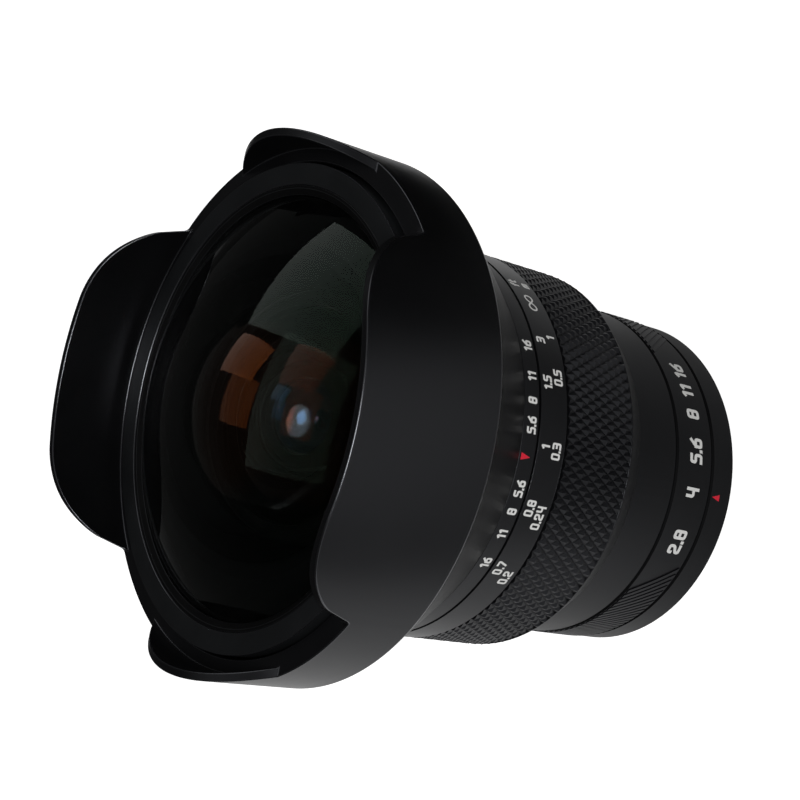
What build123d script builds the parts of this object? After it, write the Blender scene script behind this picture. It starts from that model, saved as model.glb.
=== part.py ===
from build123d import *
from math import asin, atan2, copysign, cos, degrees, radians, sin, sqrt
import os

os.makedirs("parts", exist_ok=True)

# Manual fisheye lens standing on its rear mount. Millimetres and degrees.
# +Z is the optical axis towards the front, the origin is the centre of the mount's flange face,
# and the index marks of both scales face -Y.

# Clearances shared by all pieces
running_fit = 0.05
seat_fit = 0.02
free_gap = 0.3
ring_gap = 0.25
overrun = 6.0

# Positions of the controls at rest, and how far they turn from there
index_azimuth = -90
focus_to_infinity = 47.5
focus_to_near = 33.5
focus_rise_share = 0.0175
f_stop_turns = (17.2, 0, -14, -26.8, -35.6, -44)
stop_margin = 0.8

# Bayonet and mount ring: all the barrels follow the radius of the rear tube
rear_tube_radius = 20.45
bayonet_bore = rear_tube_radius - running_fit
bayonet_wall = 1.5
bayonet_depth = 4.4
claw_reach = 1.1
claw_thickness = 1.5
claw_count = 3
claw_span = 54
claw_start = 33
plate_inset = 1.7
plate_thickness = 1.2
mount_ring_height = 5.8

# Fixed main barrel
tube_room = 6.05
main_bore = rear_tube_radius + tube_room
main_wall = 1.9
main_web = 2.5
main_flange_reach = 2.6
main_flange_height = 3.35
main_web_gap = 0.75

# Rings round the main barrel, from the mount forwards
ring_wall = 2.25
aperture_ring_height = 9.4
fixed_band_height = 18.1
sleeve_wall = 2.4
sleeve_height = 19.0
grip_wall = 3.6
grip_height = 21.0
grip_groove = 0.5
grip_groove_depth = 0.9
skirt_edge = 0.4
skirt_height = 5.5
scale_height = 6.1
edge_chamfer = 0.3

# Hood
hood_flare = 10.3
hood_flare_height = 14.4
hood_edge_chamfer = 0.45
hood_body_height = 12.3
hood_wall = 1.4
hood_floor_width = 2.4
hood_flange_height = 3.0
hood_throat_gap = 0.4
hood_step = 0.1
petal_root = 1.0
hood_shell = 3.2
large_petal_width = 57.4
large_petal_height = 13.9
large_petal_shares = ((1, 0), (0.929, 0.288), (0.828, 0.663), (0.67, 0.912), (0.472, 1))
small_petal_width = 38.1
small_petal_height = 7.1

# Front cell and the retaining rings of the two front elements
cell_gap = 0.5
band_rise = 1.5
band_width = 3.7
cell_wall_height = 8.6
cell_hub_gap = 0.1
cell_hub_radius = main_bore - cell_hub_gap
cell_tail_wall = 3.4
cell_tail_height = 5.5
cell_shelf = 1.0
retainer_thread = 0.75
retainer_height = 1.4
retainer_lap = 0.7
retainer_bevel = 1.0
retainer_lip = 0.3
thread_relief = 0.6
dome_shoulder = 2.5

# Glass: radius of curvature is positive where the surface bulges forwards
dome_curve = 58.0
dome_rise = 10.7
dome_thickness = 3.0
dome_back_curve = 26.0
dome_back_radius = 24.5
second_gap = 13.8
second_radius = 22.0
second_curve = 38.0
second_thickness = 2.0
second_back_curve = 15.0
second_back_radius = 13.5
third_gap = 14.5
middle_radius = 10.5
third_curve = -40.0
third_thickness = 1.6
third_back_curve = 18.0
fourth_thickness = 6.5
fourth_back_curve = -30.0
fifth_gap = 1.2
fifth_curve = 25.0
fifth_thickness = 4.0
fifth_back_curve = -80.0
rear_radius = 9.0
sixth_drop = 1.0
sixth_curve = 30.0
sixth_thickness = 4.2
sixth_back_curve = -20.0
seventh_thickness = 1.4
seventh_back_curve = 50.0
eighth_gap = 1.6
eighth_curve = 28.0
eighth_thickness = 3.4
eighth_back_curve = -40.0
ninth_gap = 1.6
ninth_curve = 60.0
ninth_thickness = 1.4
ninth_back_curve = 15.0
tenth_thickness = 6.8
tenth_back_curve = -25.0
eleventh_gap = 1.2
eleventh_curve = 30.0
eleventh_thickness = 3.2
eleventh_back_curve = -200.0

# Focusing barrel that slides inside the main barrel
collar_height = 11.0
barrel_drop = 0.9
collar_wall = 4.0
front_bore_depth = 7.5
iris_bore = 18.4
iris_depth = 10.5
web_thickness = 1.2
web_opening = 12.0
rear_wall = 3.45
rear_bore = rear_tube_radius - rear_wall

# Cells of the middle and rear groups
middle_cell_radius = 13.5
middle_lip = 1.2
middle_flange_height = 2.0
middle_thread = 1.0
middle_retainer_height = 1.6
rear_cell_radius = 12.0
rear_cell_flange = 3.6
rear_cell_lip = 0.7
rear_cell_lip_height = 1.0
rear_cell_mouth = 2.7
rear_thread = 1.5
lock_ring_height = 2.2
lock_ring_width = 4.4
element_lap = 0.8

# Iris
blade_count = 7
blade_thickness = 0.18
blade_step = 0.26
blade_inner = 7.8
blade_width = 5.1
blade_span = 125
blade_back_span = 6
blade_full_turn = 26.8
pivot_radius = 14.0
pivot_pin = 0.5
pivot_boss = 1.3
lever_in = 1.3
lever_back = 6.0
lever_boss = 1.1
iris_base_height = 1.2
iris_base_opening = 8.4
cam_ring_height = 1.2
cam_ring_bore = 12.2
iris_clip_height = 0.8
iris_clip_width = 1.9
clip_gap = 12
pin_play = 0.05
cam_slot_play = 0.1
drive_pin_root = 0.6

# Aperture coupling, click stop and focusing hardware
drive_pin = 0.55
link_thickness = 1.4
link_gap = 2.75
link_rear_gap = 0.7
link_front_gap = 0.5
link_pin_reach = 1.55
link_width = 5.0
link_azimuth = 90
link_pin = 1.2
link_pin_height = 4.75
click_ball_radius = 0.95
click_depth = 0.35
click_groove_height = 2.4
click_spring_thickness = 0.3
click_spring_width = 2.4
click_spring_span = 44
click_screw_turn = 16
click_screw = 0.6
click_screw_head = 1.0
click_screw_head_height = 0.8
click_screw_reach = 1.5
follower_count = 3
follower_azimuth = -60
follower_radius = 1.5
follower_screw = 1.0
follower_seat = 0.65
follower_shank = 2.2
follower_rise = 1.5
stop_height = 2.75
stop_play = 0.1
stop_reach = 1.5
stop_azimuth = 90
stop_screw = 0.8
stop_head = 1.4

# Screws
screw_radius = 0.8
screw_head = 1.5
screw_head_height = 0.9
screw_length = 3.6
bayonet_screw_room = 5.85
bayonet_screw_radius = rear_tube_radius + bayonet_screw_room
barrel_screw_room = 3.95
barrel_screw_radius = rear_tube_radius + barrel_screw_room
hood_screw_room = 3.2
hood_screw_radius = main_bore + hood_screw_room
hood_screw_head = 1.3
hood_screw_seat = 1.4
hood_screw_reach = 2.6
barrel_screw_reach = 1.9
barrel_screw_azimuth = 45
screw_count = 4
grub_radius = 0.9
grub_length = 1.6
grip_grub_azimuths = (30, 90, 150)
scale_grub_azimuths = (6.75, 126.75)
grip_grub_drop = 4.7
band_grub_rise = 13.1
band_grub_count = 3
band_grub_azimuth = 30
driver_slot = 0.3
mount_dot_radius = 1.1
mount_dot_azimuth = 132
mount_dot_height = 2.9
mount_dot_depth = 0.5
lock_hole_radius = 1.2
lock_hole_azimuth = 200
baffle_thickness = 1.0
baffle_inset = 0.2
baffle_length = 26.0
baffle_height = 18.0
baffle_corner = 2.0

# Radii and heights that follow from the sizes above
main_radius = main_bore + main_wall
barrel_radius = main_radius + running_fit + ring_wall
plate_radius = barrel_radius - plate_inset
sleeve_bore = main_radius + running_fit
sleeve_radius = sleeve_bore + sleeve_wall
grip_bore = sleeve_radius + running_fit
grip_radius = grip_bore + grip_wall
main_flange_radius = main_radius + main_flange_reach
hood_radius = grip_radius + hood_flare
petal_bore = hood_radius - hood_wall
hood_bore = petal_bore - hood_floor_width
cell_radius = hood_bore - cell_gap
thread_radius = cell_radius - band_width
dome_radius = thread_radius - retainer_thread - running_fit

mount_ring_top = plate_thickness + mount_ring_height
aperture_low = mount_ring_top + ring_gap
aperture_top = aperture_low + aperture_ring_height
band_low = aperture_top + ring_gap
band_top = band_low + fixed_band_height
sleeve_low = band_top + ring_gap
sleeve_top = sleeve_low + sleeve_height
grip_top = sleeve_top - scale_height
grip_low = grip_top - grip_height
knurl_top = grip_top - grip_groove
depth_scale_low = sleeve_top + ring_gap
main_flange_low = sleeve_top + free_gap
hood_low = main_flange_low + main_flange_height
flare_top = hood_low + hood_flare_height
hood_floor = flare_top + hood_body_height
hood_top = hood_floor + large_petal_height

# The focusing unit at rest
unit_rise = focus_rise_share * focus_to_near
unit_drop = focus_rise_share * focus_to_infinity
cell_top = hood_floor + band_rise
cell_corner = cell_top - cell_wall_height
barrel_top = hood_low - barrel_drop
collar_low = barrel_top - collar_height
collar_radius = main_bore - running_fit
front_bore = collar_radius - collar_wall
middle_seat = barrel_top - front_bore_depth
iris_seat = middle_seat - iris_depth
rear_seat = iris_seat - web_thickness
barrel_rear = plate_thickness + unit_drop + ring_gap + free_gap
follower_level = middle_seat + follower_rise

# Iris levels above its seat
blade_low = iris_seat + iris_base_height + seat_fit
cam_low = blade_low + blade_step * blade_count
cam_top = cam_low + cam_ring_height
clip_low = cam_top + running_fit
cam_outer = iris_bore - running_fit
drive_level = cam_low + cam_ring_height / 2
aperture_travel = f_stop_turns[0] - f_stop_turns[-1]
blade_ratio = blade_full_turn / aperture_travel
blade_rest_turn = blade_ratio * f_stop_turns[0]


def at(radius, azimuth, height=0):
    """The point at a radius and azimuth round the optical axis."""
    return (radius * cos(radians(azimuth)), radius * sin(radians(azimuth)), height)


def radial_plane(azimuth, height, radius=0):
    """A plane facing outwards from the optical axis."""
    outwards = (cos(radians(azimuth)), sin(radians(azimuth)), 0)
    return Plane(origin=at(radius, azimuth, height), x_dir=(0, 0, 1), z_dir=outwards)


def half_section(points):
    """The face enclosed by (radius, height) points beside the optical axis."""
    with BuildSketch(Plane.XZ) as section:
        with BuildLine():
            Polyline(*points, close=True)
        make_face()
    return section.sketch


def ring_section(inner, outer, low, high):
    return half_section([(inner, low), (outer, low), (outer, high), (inner, high)])


def surface_height(apex, curve, radius):
    """Height of a spherical surface at a distance from the axis."""
    return apex - curve + copysign(sqrt(curve ** 2 - radius ** 2), curve)


def lens_section(front, front_curve, back, back_curve, radius, back_radius):
    """Half section of one lens element; beyond back_radius its rear face is flat."""
    edge = surface_height(front, front_curve, radius)
    back_edge = surface_height(back, back_curve, back_radius)
    with BuildSketch(Plane.XZ) as section:
        with BuildLine():
            middle = (radius / 2, surface_height(front, front_curve, radius / 2))
            ThreePointArc((0, front), middle, (radius, edge))
            Line((radius, edge), (radius, back_edge))
            if back_radius < radius:
                Line((radius, back_edge), (back_radius, back_edge))
            back_middle = (back_radius / 2, surface_height(back, back_curve, back_radius / 2))
            ThreePointArc((back_radius, back_edge), back_middle, (0, back))
            Line((0, back), (0, front))
        make_face()
    return section.sketch


def spacer_section(radius, front, front_curve, back, back_curve):
    """Half section of a ring between the rear surface of one element and the front of the next."""
    bore = radius - element_lap
    return half_section([
        (bore, surface_height(back, back_curve, bore) + seat_fit),
        (radius, surface_height(back, back_curve, radius) + seat_fit),
        (radius, surface_height(front, front_curve, radius) - seat_fit),
        (bore, surface_height(front, front_curve, bore) - seat_fit),
    ])


def retainer_section(apex, curve, radius, thread, height, bevel=0):
    """Half section of a threaded ring that holds an element down by its edge."""
    bore = radius - retainer_lap
    low = surface_height(apex, curve, radius) + seat_fit
    lap_low = surface_height(apex, curve, bore) + seat_fit
    outer = thread - seat_fit
    inner_edge = [(bore, lap_low + retainer_lip)] if bevel else []
    return half_section([
        (outer, low), (radius, low), (bore, lap_low), *inner_edge,
        (bore + bevel, low + height), (outer, low + height),
    ])


def sector(inner, outer, start, end, plane, shift=0):
    """A flat piece of a ring between two azimuths, its centre shifted along the plane's x."""
    middle = (start + end) / 2
    corners = [(inner, start), (outer, start), (outer, middle), (outer, end), (inner, end), (inner, middle)]
    a, b, c, d, e, f = [Vector(*at(radius, azimuth)) + Vector(shift, 0, 0) for radius, azimuth in corners]
    with BuildSketch(plane) as piece:
        with BuildLine():
            Line(a, b)
            ThreePointArc(b, c, d)
            Line(d, e)
            ThreePointArc(e, f, a)
        make_face()
    return piece.sketch


low_end = (Align.CENTER, Align.CENTER, Align.MIN)
high_end = (Align.CENTER, Align.CENTER, Align.MAX)


def countersunk(radius, head, sink, length, mode=Mode.ADD):
    """A flat-headed screw, or the hole for one, with its head at the plane in use."""
    Cone(head, radius, sink, align=low_end, mode=mode)
    Cylinder(radius, length, align=low_end, mode=mode)


def cross_slot(head):
    """The driver's cross in a screw head that lies in the plane in use."""
    Box(head, driver_slot, driver_slot, align=low_end, mode=Mode.SUBTRACT)
    Box(driver_slot, head, driver_slot, align=low_end, mode=Mode.SUBTRACT)


def grub_screws(places, start):
    """Slotted headless screws that stand radially at (azimuth, height) places."""
    with BuildPart() as screws:
        for azimuth, height in places:
            with Locations(radial_plane(azimuth, height, start)):
                Cylinder(grub_radius, grub_length, align=low_end)
            with Locations(radial_plane(azimuth, height, start + grub_length)):
                Box(driver_slot, 2 * grub_radius, driver_slot, align=high_end, mode=Mode.SUBTRACT)
    return screws.part


def radial_holes(places, radius, start, length):
    """Cut round radial holes at (azimuth, height) places into the part in work."""
    for azimuth, height in places:
        with Locations(radial_plane(azimuth, height, start)):
            Cylinder(radius, length, align=low_end, mode=Mode.SUBTRACT)


# Bayonet plate: flange, short tube and the claws that lock behind the camera's mount
bayonet_radius = bayonet_bore + bayonet_wall
with BuildPart() as bayonet_plate:
    revolve(ring_section(bayonet_bore, plate_radius, 0, plate_thickness), axis=Axis.Z)
    revolve(ring_section(bayonet_bore, bayonet_radius, -bayonet_depth, 0), axis=Axis.Z)
    claw_plane = Plane.XY.offset(-bayonet_depth)
    for claw in range(claw_count):
        first = claw_start + claw * 360 / claw_count
        claw_face = sector(bayonet_bore + bayonet_wall / 2, bayonet_radius + claw_reach, first,
                           first + claw_span, claw_plane)
        extrude(claw_face, amount=claw_thickness)
    with PolarLocations(bayonet_screw_radius, screw_count):
        countersunk(screw_radius + seat_fit, screw_head + seat_fit, screw_head_height, plate_thickness,
                    Mode.SUBTRACT)
    with Locations(at(bayonet_screw_radius, lock_hole_azimuth)):
        Cylinder(lock_hole_radius, plate_thickness, align=low_end, mode=Mode.SUBTRACT)

with BuildPart() as bayonet_screws:
    with PolarLocations(bayonet_screw_radius, screw_count):
        countersunk(screw_radius, screw_head, screw_head_height, screw_length)
        cross_slot(screw_head)

# Rear baffle: a blackened disc with the picture window
with BuildPart() as rear_baffle:
    with BuildSketch(Plane.XY.offset(baffle_inset - bayonet_depth)):
        Circle(bayonet_bore - seat_fit)
        RectangleRounded(baffle_length, baffle_height, baffle_corner, mode=Mode.SUBTRACT)
    extrude(amount=baffle_thickness)

# Mount ring between the bayonet plate and the main barrel
dot_place = [(mount_dot_azimuth, plate_thickness + mount_dot_height)]
base_bore = rear_tube_radius + running_fit
barrel_screw_length = mount_ring_height + barrel_screw_reach
with BuildPart() as mount_base:
    revolve(half_section([
        (base_bore, plate_thickness), (barrel_radius - edge_chamfer, plate_thickness),
        (barrel_radius, plate_thickness + edge_chamfer), (barrel_radius, mount_ring_top - edge_chamfer),
        (barrel_radius - edge_chamfer, mount_ring_top), (base_bore, mount_ring_top),
    ]), axis=Axis.Z)
    with PolarLocations(bayonet_screw_radius, screw_count):
        Cylinder(screw_radius + seat_fit, screw_length + free_gap, align=low_end, mode=Mode.SUBTRACT)
    with Locations((0, 0, plate_thickness)):
        with PolarLocations(barrel_screw_radius, screw_count, barrel_screw_azimuth):
            countersunk(screw_radius + seat_fit, screw_head + seat_fit, screw_head_height,
                        mount_ring_height, Mode.SUBTRACT)
    radial_holes(dot_place, mount_dot_radius + seat_fit, barrel_radius - mount_dot_depth, overrun)

with BuildPart() as barrel_screws:
    with Locations((0, 0, plate_thickness)):
        with PolarLocations(barrel_screw_radius, screw_count, barrel_screw_azimuth):
            countersunk(screw_radius, screw_head, screw_head_height, barrel_screw_length)
            cross_slot(screw_head)

with BuildPart() as mount_dot:
    with Locations(radial_plane(*dot_place[0], barrel_radius - mount_dot_depth)):
        Cylinder(mount_dot_radius, mount_dot_depth, align=low_end)

# Main barrel: the fixed tube that carries every ring
follower_places = [(follower_azimuth + step * 360 / follower_count, follower_level)
                   for step in range(follower_count)]
stop_place = [(stop_azimuth, sleeve_low + stop_height)]
ball_level = (aperture_low + aperture_top) / 2
link_pin_level = aperture_low + link_pin_height
click_places = [(index_azimuth, ball_level)]
click_screw_places = [(index_azimuth + click_screw_turn, ball_level)]
band_places = [(band_grub_azimuth + step * 360 / band_grub_count, band_low + band_grub_rise)
               for step in range(band_grub_count)]
web_bore = rear_tube_radius + main_web_gap
slot_play = follower_radius + running_fit
with BuildPart() as main_barrel:
    revolve(half_section([
        (web_bore, mount_ring_top), (main_radius, mount_ring_top), (main_radius, main_flange_low),
        (main_flange_radius, main_flange_low), (main_flange_radius, hood_low), (main_bore, hood_low),
        (main_bore, mount_ring_top + main_web), (web_bore, mount_ring_top + main_web),
    ]), axis=Axis.Z)
    with Locations((0, 0, mount_ring_top)):
        with PolarLocations(barrel_screw_radius, screw_count, barrel_screw_azimuth):
            Cylinder(screw_radius + seat_fit, main_web, align=low_end, mode=Mode.SUBTRACT)
    with Locations((0, 0, hood_low)):
        with PolarLocations(hood_screw_radius, screw_count, barrel_screw_azimuth):
            Cylinder(screw_radius + seat_fit, hood_screw_reach + free_gap, align=high_end, mode=Mode.SUBTRACT)
    for azimuth, level in follower_places:
        for end in (level - unit_drop, level + unit_rise):
            with Locations(radial_plane(azimuth, end)):
                Cylinder(slot_play, main_radius + overrun, align=low_end, mode=Mode.SUBTRACT)
        with Locations(radial_plane(azimuth, level + (unit_rise - unit_drop) / 2)):
            Box(unit_rise + unit_drop, 2 * slot_play, main_radius + overrun, align=low_end,
                mode=Mode.SUBTRACT)
    pin_clear = degrees(asin((link_pin + free_gap) / main_bore))
    link_slot = sector(main_bore / 2, main_radius + overrun, link_azimuth + f_stop_turns[-1] - pin_clear,
                       link_azimuth + f_stop_turns[0] + pin_clear,
                       Plane.XY.offset(link_pin_level - link_pin - running_fit))
    extrude(link_slot, amount=2 * (link_pin + running_fit), mode=Mode.SUBTRACT)
    radial_holes(click_places, click_ball_radius + running_fit, main_bore / 2, main_bore)
    radial_holes(click_screw_places, click_screw + seat_fit, main_bore / 2, main_bore)
    radial_holes(stop_place, stop_screw + seat_fit, main_bore / 2, main_bore)

# Click stop: a ball on a leaf spring finds the notches of the aperture ring
spring_radius = main_bore - seat_fit
spring_low = ball_level - click_spring_width / 2
with BuildPart() as click_spring:
    leaf = sector(spring_radius - click_spring_thickness, spring_radius,
                  index_azimuth - click_spring_span / 2, index_azimuth + click_spring_span / 2,
                  Plane.XY.offset(spring_low))
    extrude(leaf, amount=click_spring_width)
    radial_holes(click_screw_places, click_screw + seat_fit, main_bore / 2, main_bore)

screw_seat = sqrt((spring_radius - click_spring_thickness) ** 2 - click_screw_head ** 2)
with BuildPart() as click_screw_piece:
    for azimuth, level in click_screw_places:
        with Locations(radial_plane(azimuth, level, screw_seat)):
            Cylinder(click_screw_head, click_screw_head_height, align=high_end)
            Cylinder(click_screw, click_spring_thickness + click_screw_reach, align=low_end)
        with Locations(radial_plane(azimuth, level, screw_seat - click_screw_head_height)):
            Box(driver_slot, 2 * click_screw_head, driver_slot, align=low_end, mode=Mode.SUBTRACT)

ball_rest = main_bore + click_ball_radius
with BuildPart() as click_ball:
    with Locations(at(ball_rest, index_azimuth, ball_level)):
        Sphere(click_ball_radius)

# Aperture ring with its click notches
with BuildPart() as aperture_ring:
    revolve(half_section([
        (sleeve_bore, aperture_low), (barrel_radius - edge_chamfer, aperture_low),
        (barrel_radius, aperture_low + edge_chamfer), (barrel_radius, aperture_top - edge_chamfer),
        (barrel_radius - edge_chamfer, aperture_top), (sleeve_bore, aperture_top),
    ]), axis=Axis.Z)
    for turn in f_stop_turns:
        with Locations(at(ball_rest + click_depth, index_azimuth - turn, ball_level)):
            Cylinder(click_ball_radius + running_fit, click_groove_height, mode=Mode.SUBTRACT)
    radial_holes([(link_azimuth, link_pin_level)], link_pin + seat_fit, main_bore,
                 sleeve_bore + link_pin_reach - main_bore)

# Coupling from the aperture ring to the iris: a radial pin and a forked bar
link_bore = rear_tube_radius + link_gap
link_low = mount_ring_top + main_web + link_rear_gap
link_top = collar_low - unit_drop - link_front_gap
fork_low = drive_level - unit_drop - drive_pin - free_gap
with BuildPart() as aperture_link:
    link_middle = Plane(origin=at(link_bore, link_azimuth, (link_low + link_top) / 2), x_dir=(0, 0, 1),
                        z_dir=at(1, link_azimuth))
    with Locations(link_middle):
        Box(link_top - link_low, link_width, link_thickness, align=low_end)
    fork_middle = radial_plane(link_azimuth, (fork_low + link_top + overrun) / 2)
    with Locations(fork_middle):
        Box(link_top + overrun - fork_low, 2 * (drive_pin + pin_play), main_bore, align=low_end,
            mode=Mode.SUBTRACT)
    radial_holes([(link_azimuth, link_pin_level)], link_pin + seat_fit, 0, main_bore)

with BuildPart() as link_pin_piece:
    with Locations(radial_plane(link_azimuth, link_pin_level, link_bore)):
        Cylinder(link_pin, sleeve_bore + link_pin_reach - running_fit - link_bore, align=low_end)

# Fixed band between the aperture ring and the focusing grip
with BuildPart() as fixed_band:
    revolve(half_section([
        (main_radius + seat_fit, band_low), (barrel_radius - edge_chamfer, band_low),
        (barrel_radius, band_low + edge_chamfer), (barrel_radius, band_top),
        (main_radius + seat_fit, band_top),
    ]), axis=Axis.Z)
    radial_holes(band_places, grub_radius + seat_fit, main_bore, overrun)

# Focusing: stop screw, cam sleeve, grip and distance scale
with BuildPart() as focus_stop_screw:
    for azimuth, level in stop_place:
        with Locations(radial_plane(azimuth, level, main_radius)):
            Cylinder(stop_head, sleeve_wall - free_gap, align=low_end)
            Cylinder(stop_screw, stop_reach, align=high_end)
        with Locations(radial_plane(azimuth, level, main_radius + sleeve_wall - free_gap)):
            Box(driver_slot, 2 * stop_head, driver_slot, align=high_end, mode=Mode.SUBTRACT)

grip_grub_places = [(azimuth, knurl_top - grip_grub_drop) for azimuth in grip_grub_azimuths]
scale_grub_places = [(azimuth, (grip_top + sleeve_top) / 2) for azimuth in scale_grub_azimuths]
slot_middle = (sleeve_bore + sleeve_radius) / 2
with BuildPart() as focus_cam_sleeve:
    revolve(ring_section(sleeve_bore, sleeve_radius, sleeve_low, sleeve_top), axis=Axis.Z)
    for azimuth, level in follower_places:
        slot_start = azimuth + focus_to_infinity
        with BuildLine(Plane.XY.offset(level - unit_drop)) as slot_path:
            Helix(360 * focus_rise_share, unit_rise + unit_drop, slot_middle, lefthand=True)
        path = slot_path.edges()[0].rotate(Axis.Z, slot_start)
        with BuildSketch(Plane(origin=path @ 0, x_dir=at(1, slot_start), z_dir=path % 0)) as slot_face:
            Rectangle(sleeve_wall + overrun / 2, 2 * slot_play)
        sweep(slot_face.sketch, path=path, is_frenet=True, mode=Mode.SUBTRACT)
        slot_ends = [(slot_start, level - unit_drop), (azimuth - focus_to_near, level + unit_rise)]
        radial_holes(slot_ends, slot_play, main_bore, overrun)
    stop_clear = degrees(asin(stop_head / main_radius)) + stop_margin
    window = sector(main_bore, grip_radius, stop_azimuth - focus_to_near - stop_clear,
                    stop_azimuth + focus_to_infinity + stop_clear,
                    Plane.XY.offset(sleeve_low + stop_height - stop_head - stop_play))
    extrude(window, amount=2 * (stop_head + stop_play), mode=Mode.SUBTRACT)

with BuildPart() as focus_grip:
    revolve(half_section([
        (grip_bore, grip_low), (grip_bore + skirt_edge, grip_low), (grip_radius, grip_low + skirt_height),
        (grip_radius, knurl_top - edge_chamfer), (grip_radius - edge_chamfer, knurl_top),
        (grip_radius - grip_groove_depth, knurl_top), (grip_radius - grip_groove_depth, grip_top),
        (grip_bore, grip_top),
    ]), axis=Axis.Z)
    radial_holes(grip_grub_places, grub_radius + seat_fit, main_bore, grip_radius)

with BuildPart() as distance_scale:
    revolve(half_section([
        (grip_bore, grip_top), (grip_radius - edge_chamfer, grip_top), (grip_radius, grip_top + edge_chamfer),
        (grip_radius, sleeve_top), (grip_bore, sleeve_top),
    ]), axis=Axis.Z)
    radial_holes(scale_grub_places, grub_radius + seat_fit, main_bore, grip_radius)

# Depth-of-field ring, fixed round the main barrel's front flange
depth_radius = grip_radius - hood_step
with BuildPart() as depth_scale:
    revolve(half_section([
        (main_flange_radius + seat_fit, depth_scale_low), (depth_radius - edge_chamfer / 2, depth_scale_low),
        (depth_radius, depth_scale_low + edge_chamfer / 2), (depth_radius, hood_low),
        (main_flange_radius + seat_fit, hood_low),
    ]), axis=Axis.Z)

# Hood with two large petals at +-Y and two small ones at +-X
large_half = large_petal_width / 2
large_points = [(large_half * across, hood_floor + large_petal_height * up)
                for across, up in large_petal_shares]
with BuildSketch(Plane.XZ) as large_outline:
    with BuildLine():
        root_low = hood_floor - petal_root
        for side in (1, -1):
            knee, shoulder, brow, flat_end = [(side * x, z) for x, z in large_points[1:]]
            foot = (side * large_half, hood_floor)
            Polyline((0, root_low), (side * large_half, root_low), foot, knee)
            knee_tangent = (knee[0] - foot[0], knee[1] - foot[1])
            Spline(knee, shoulder, brow, flat_end, tangents=(knee_tangent, (-side, 0)))
            Line(flat_end, (0, hood_top))
    make_face()

small_half = small_petal_width / 2
with BuildSketch(Plane.YZ) as small_outline:
    with BuildLine():
        petal_crest = (0, hood_floor + small_petal_height)
        ThreePointArc((small_half, hood_floor), petal_crest, (-small_half, hood_floor))
        Polyline((-small_half, hood_floor), (-small_half, hood_floor - petal_root),
                 (small_half, hood_floor - petal_root), (small_half, hood_floor))
    make_face()


def petal_pair(outline):
    """The two parts of the hood's wall that stand above the floor within one outline."""
    with BuildPart() as pair:
        revolve(ring_section(petal_bore, hood_radius, hood_floor - petal_root, hood_top), axis=Axis.Z)
        extrude(outline, amount=2 * hood_radius, both=True, mode=Mode.INTERSECT)
    return pair.part


large_petals = petal_pair(large_outline.sketch)
small_petals = petal_pair(small_outline.sketch)
flare_radius = hood_radius - hood_edge_chamfer
flare_slope = (flare_radius - depth_radius) / hood_flare_height
flange_top = hood_low + hood_flange_height
flange_corner = depth_radius + flare_slope * hood_flange_height - hood_shell
shell_top = hood_low + (hood_bore + hood_shell - depth_radius) / flare_slope
hood_throat = cell_hub_radius + hood_throat_gap
with BuildPart() as hood:
    revolve(half_section([
        (hood_throat, hood_low), (depth_radius, hood_low), (flare_radius, flare_top),
        (hood_radius, flare_top + hood_edge_chamfer), (hood_radius, hood_floor), (hood_bore, hood_floor),
        (hood_bore, shell_top), (flange_corner, flange_top), (hood_throat, flange_top),
    ]), axis=Axis.Z)
    add(large_petals)
    add(small_petals)
    with Locations((0, 0, hood_low)):
        with PolarLocations(hood_screw_radius, screw_count, barrel_screw_azimuth):
            Cylinder(screw_radius + seat_fit, hood_flange_height, align=low_end, mode=Mode.SUBTRACT)
    with Locations((0, 0, flange_top)):
        with PolarLocations(hood_screw_radius, screw_count, barrel_screw_azimuth):
            Cylinder(hood_screw_head + seat_fit, hood_screw_seat, align=high_end, mode=Mode.SUBTRACT)

with BuildPart() as hood_screws:
    with Locations((0, 0, flange_top - hood_screw_seat)):
        with PolarLocations(hood_screw_radius, screw_count, barrel_screw_azimuth):
            Cylinder(hood_screw_head, screw_head_height, align=low_end)
            Cylinder(screw_radius, hood_flange_height - hood_screw_seat + hood_screw_reach, align=high_end)
    with Locations((0, 0, flange_top - hood_screw_seat + screw_head_height)):
        with PolarLocations(hood_screw_radius, screw_count, barrel_screw_azimuth):
            Box(2 * hood_screw_head, driver_slot, driver_slot, align=high_end, mode=Mode.SUBTRACT)

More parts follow.
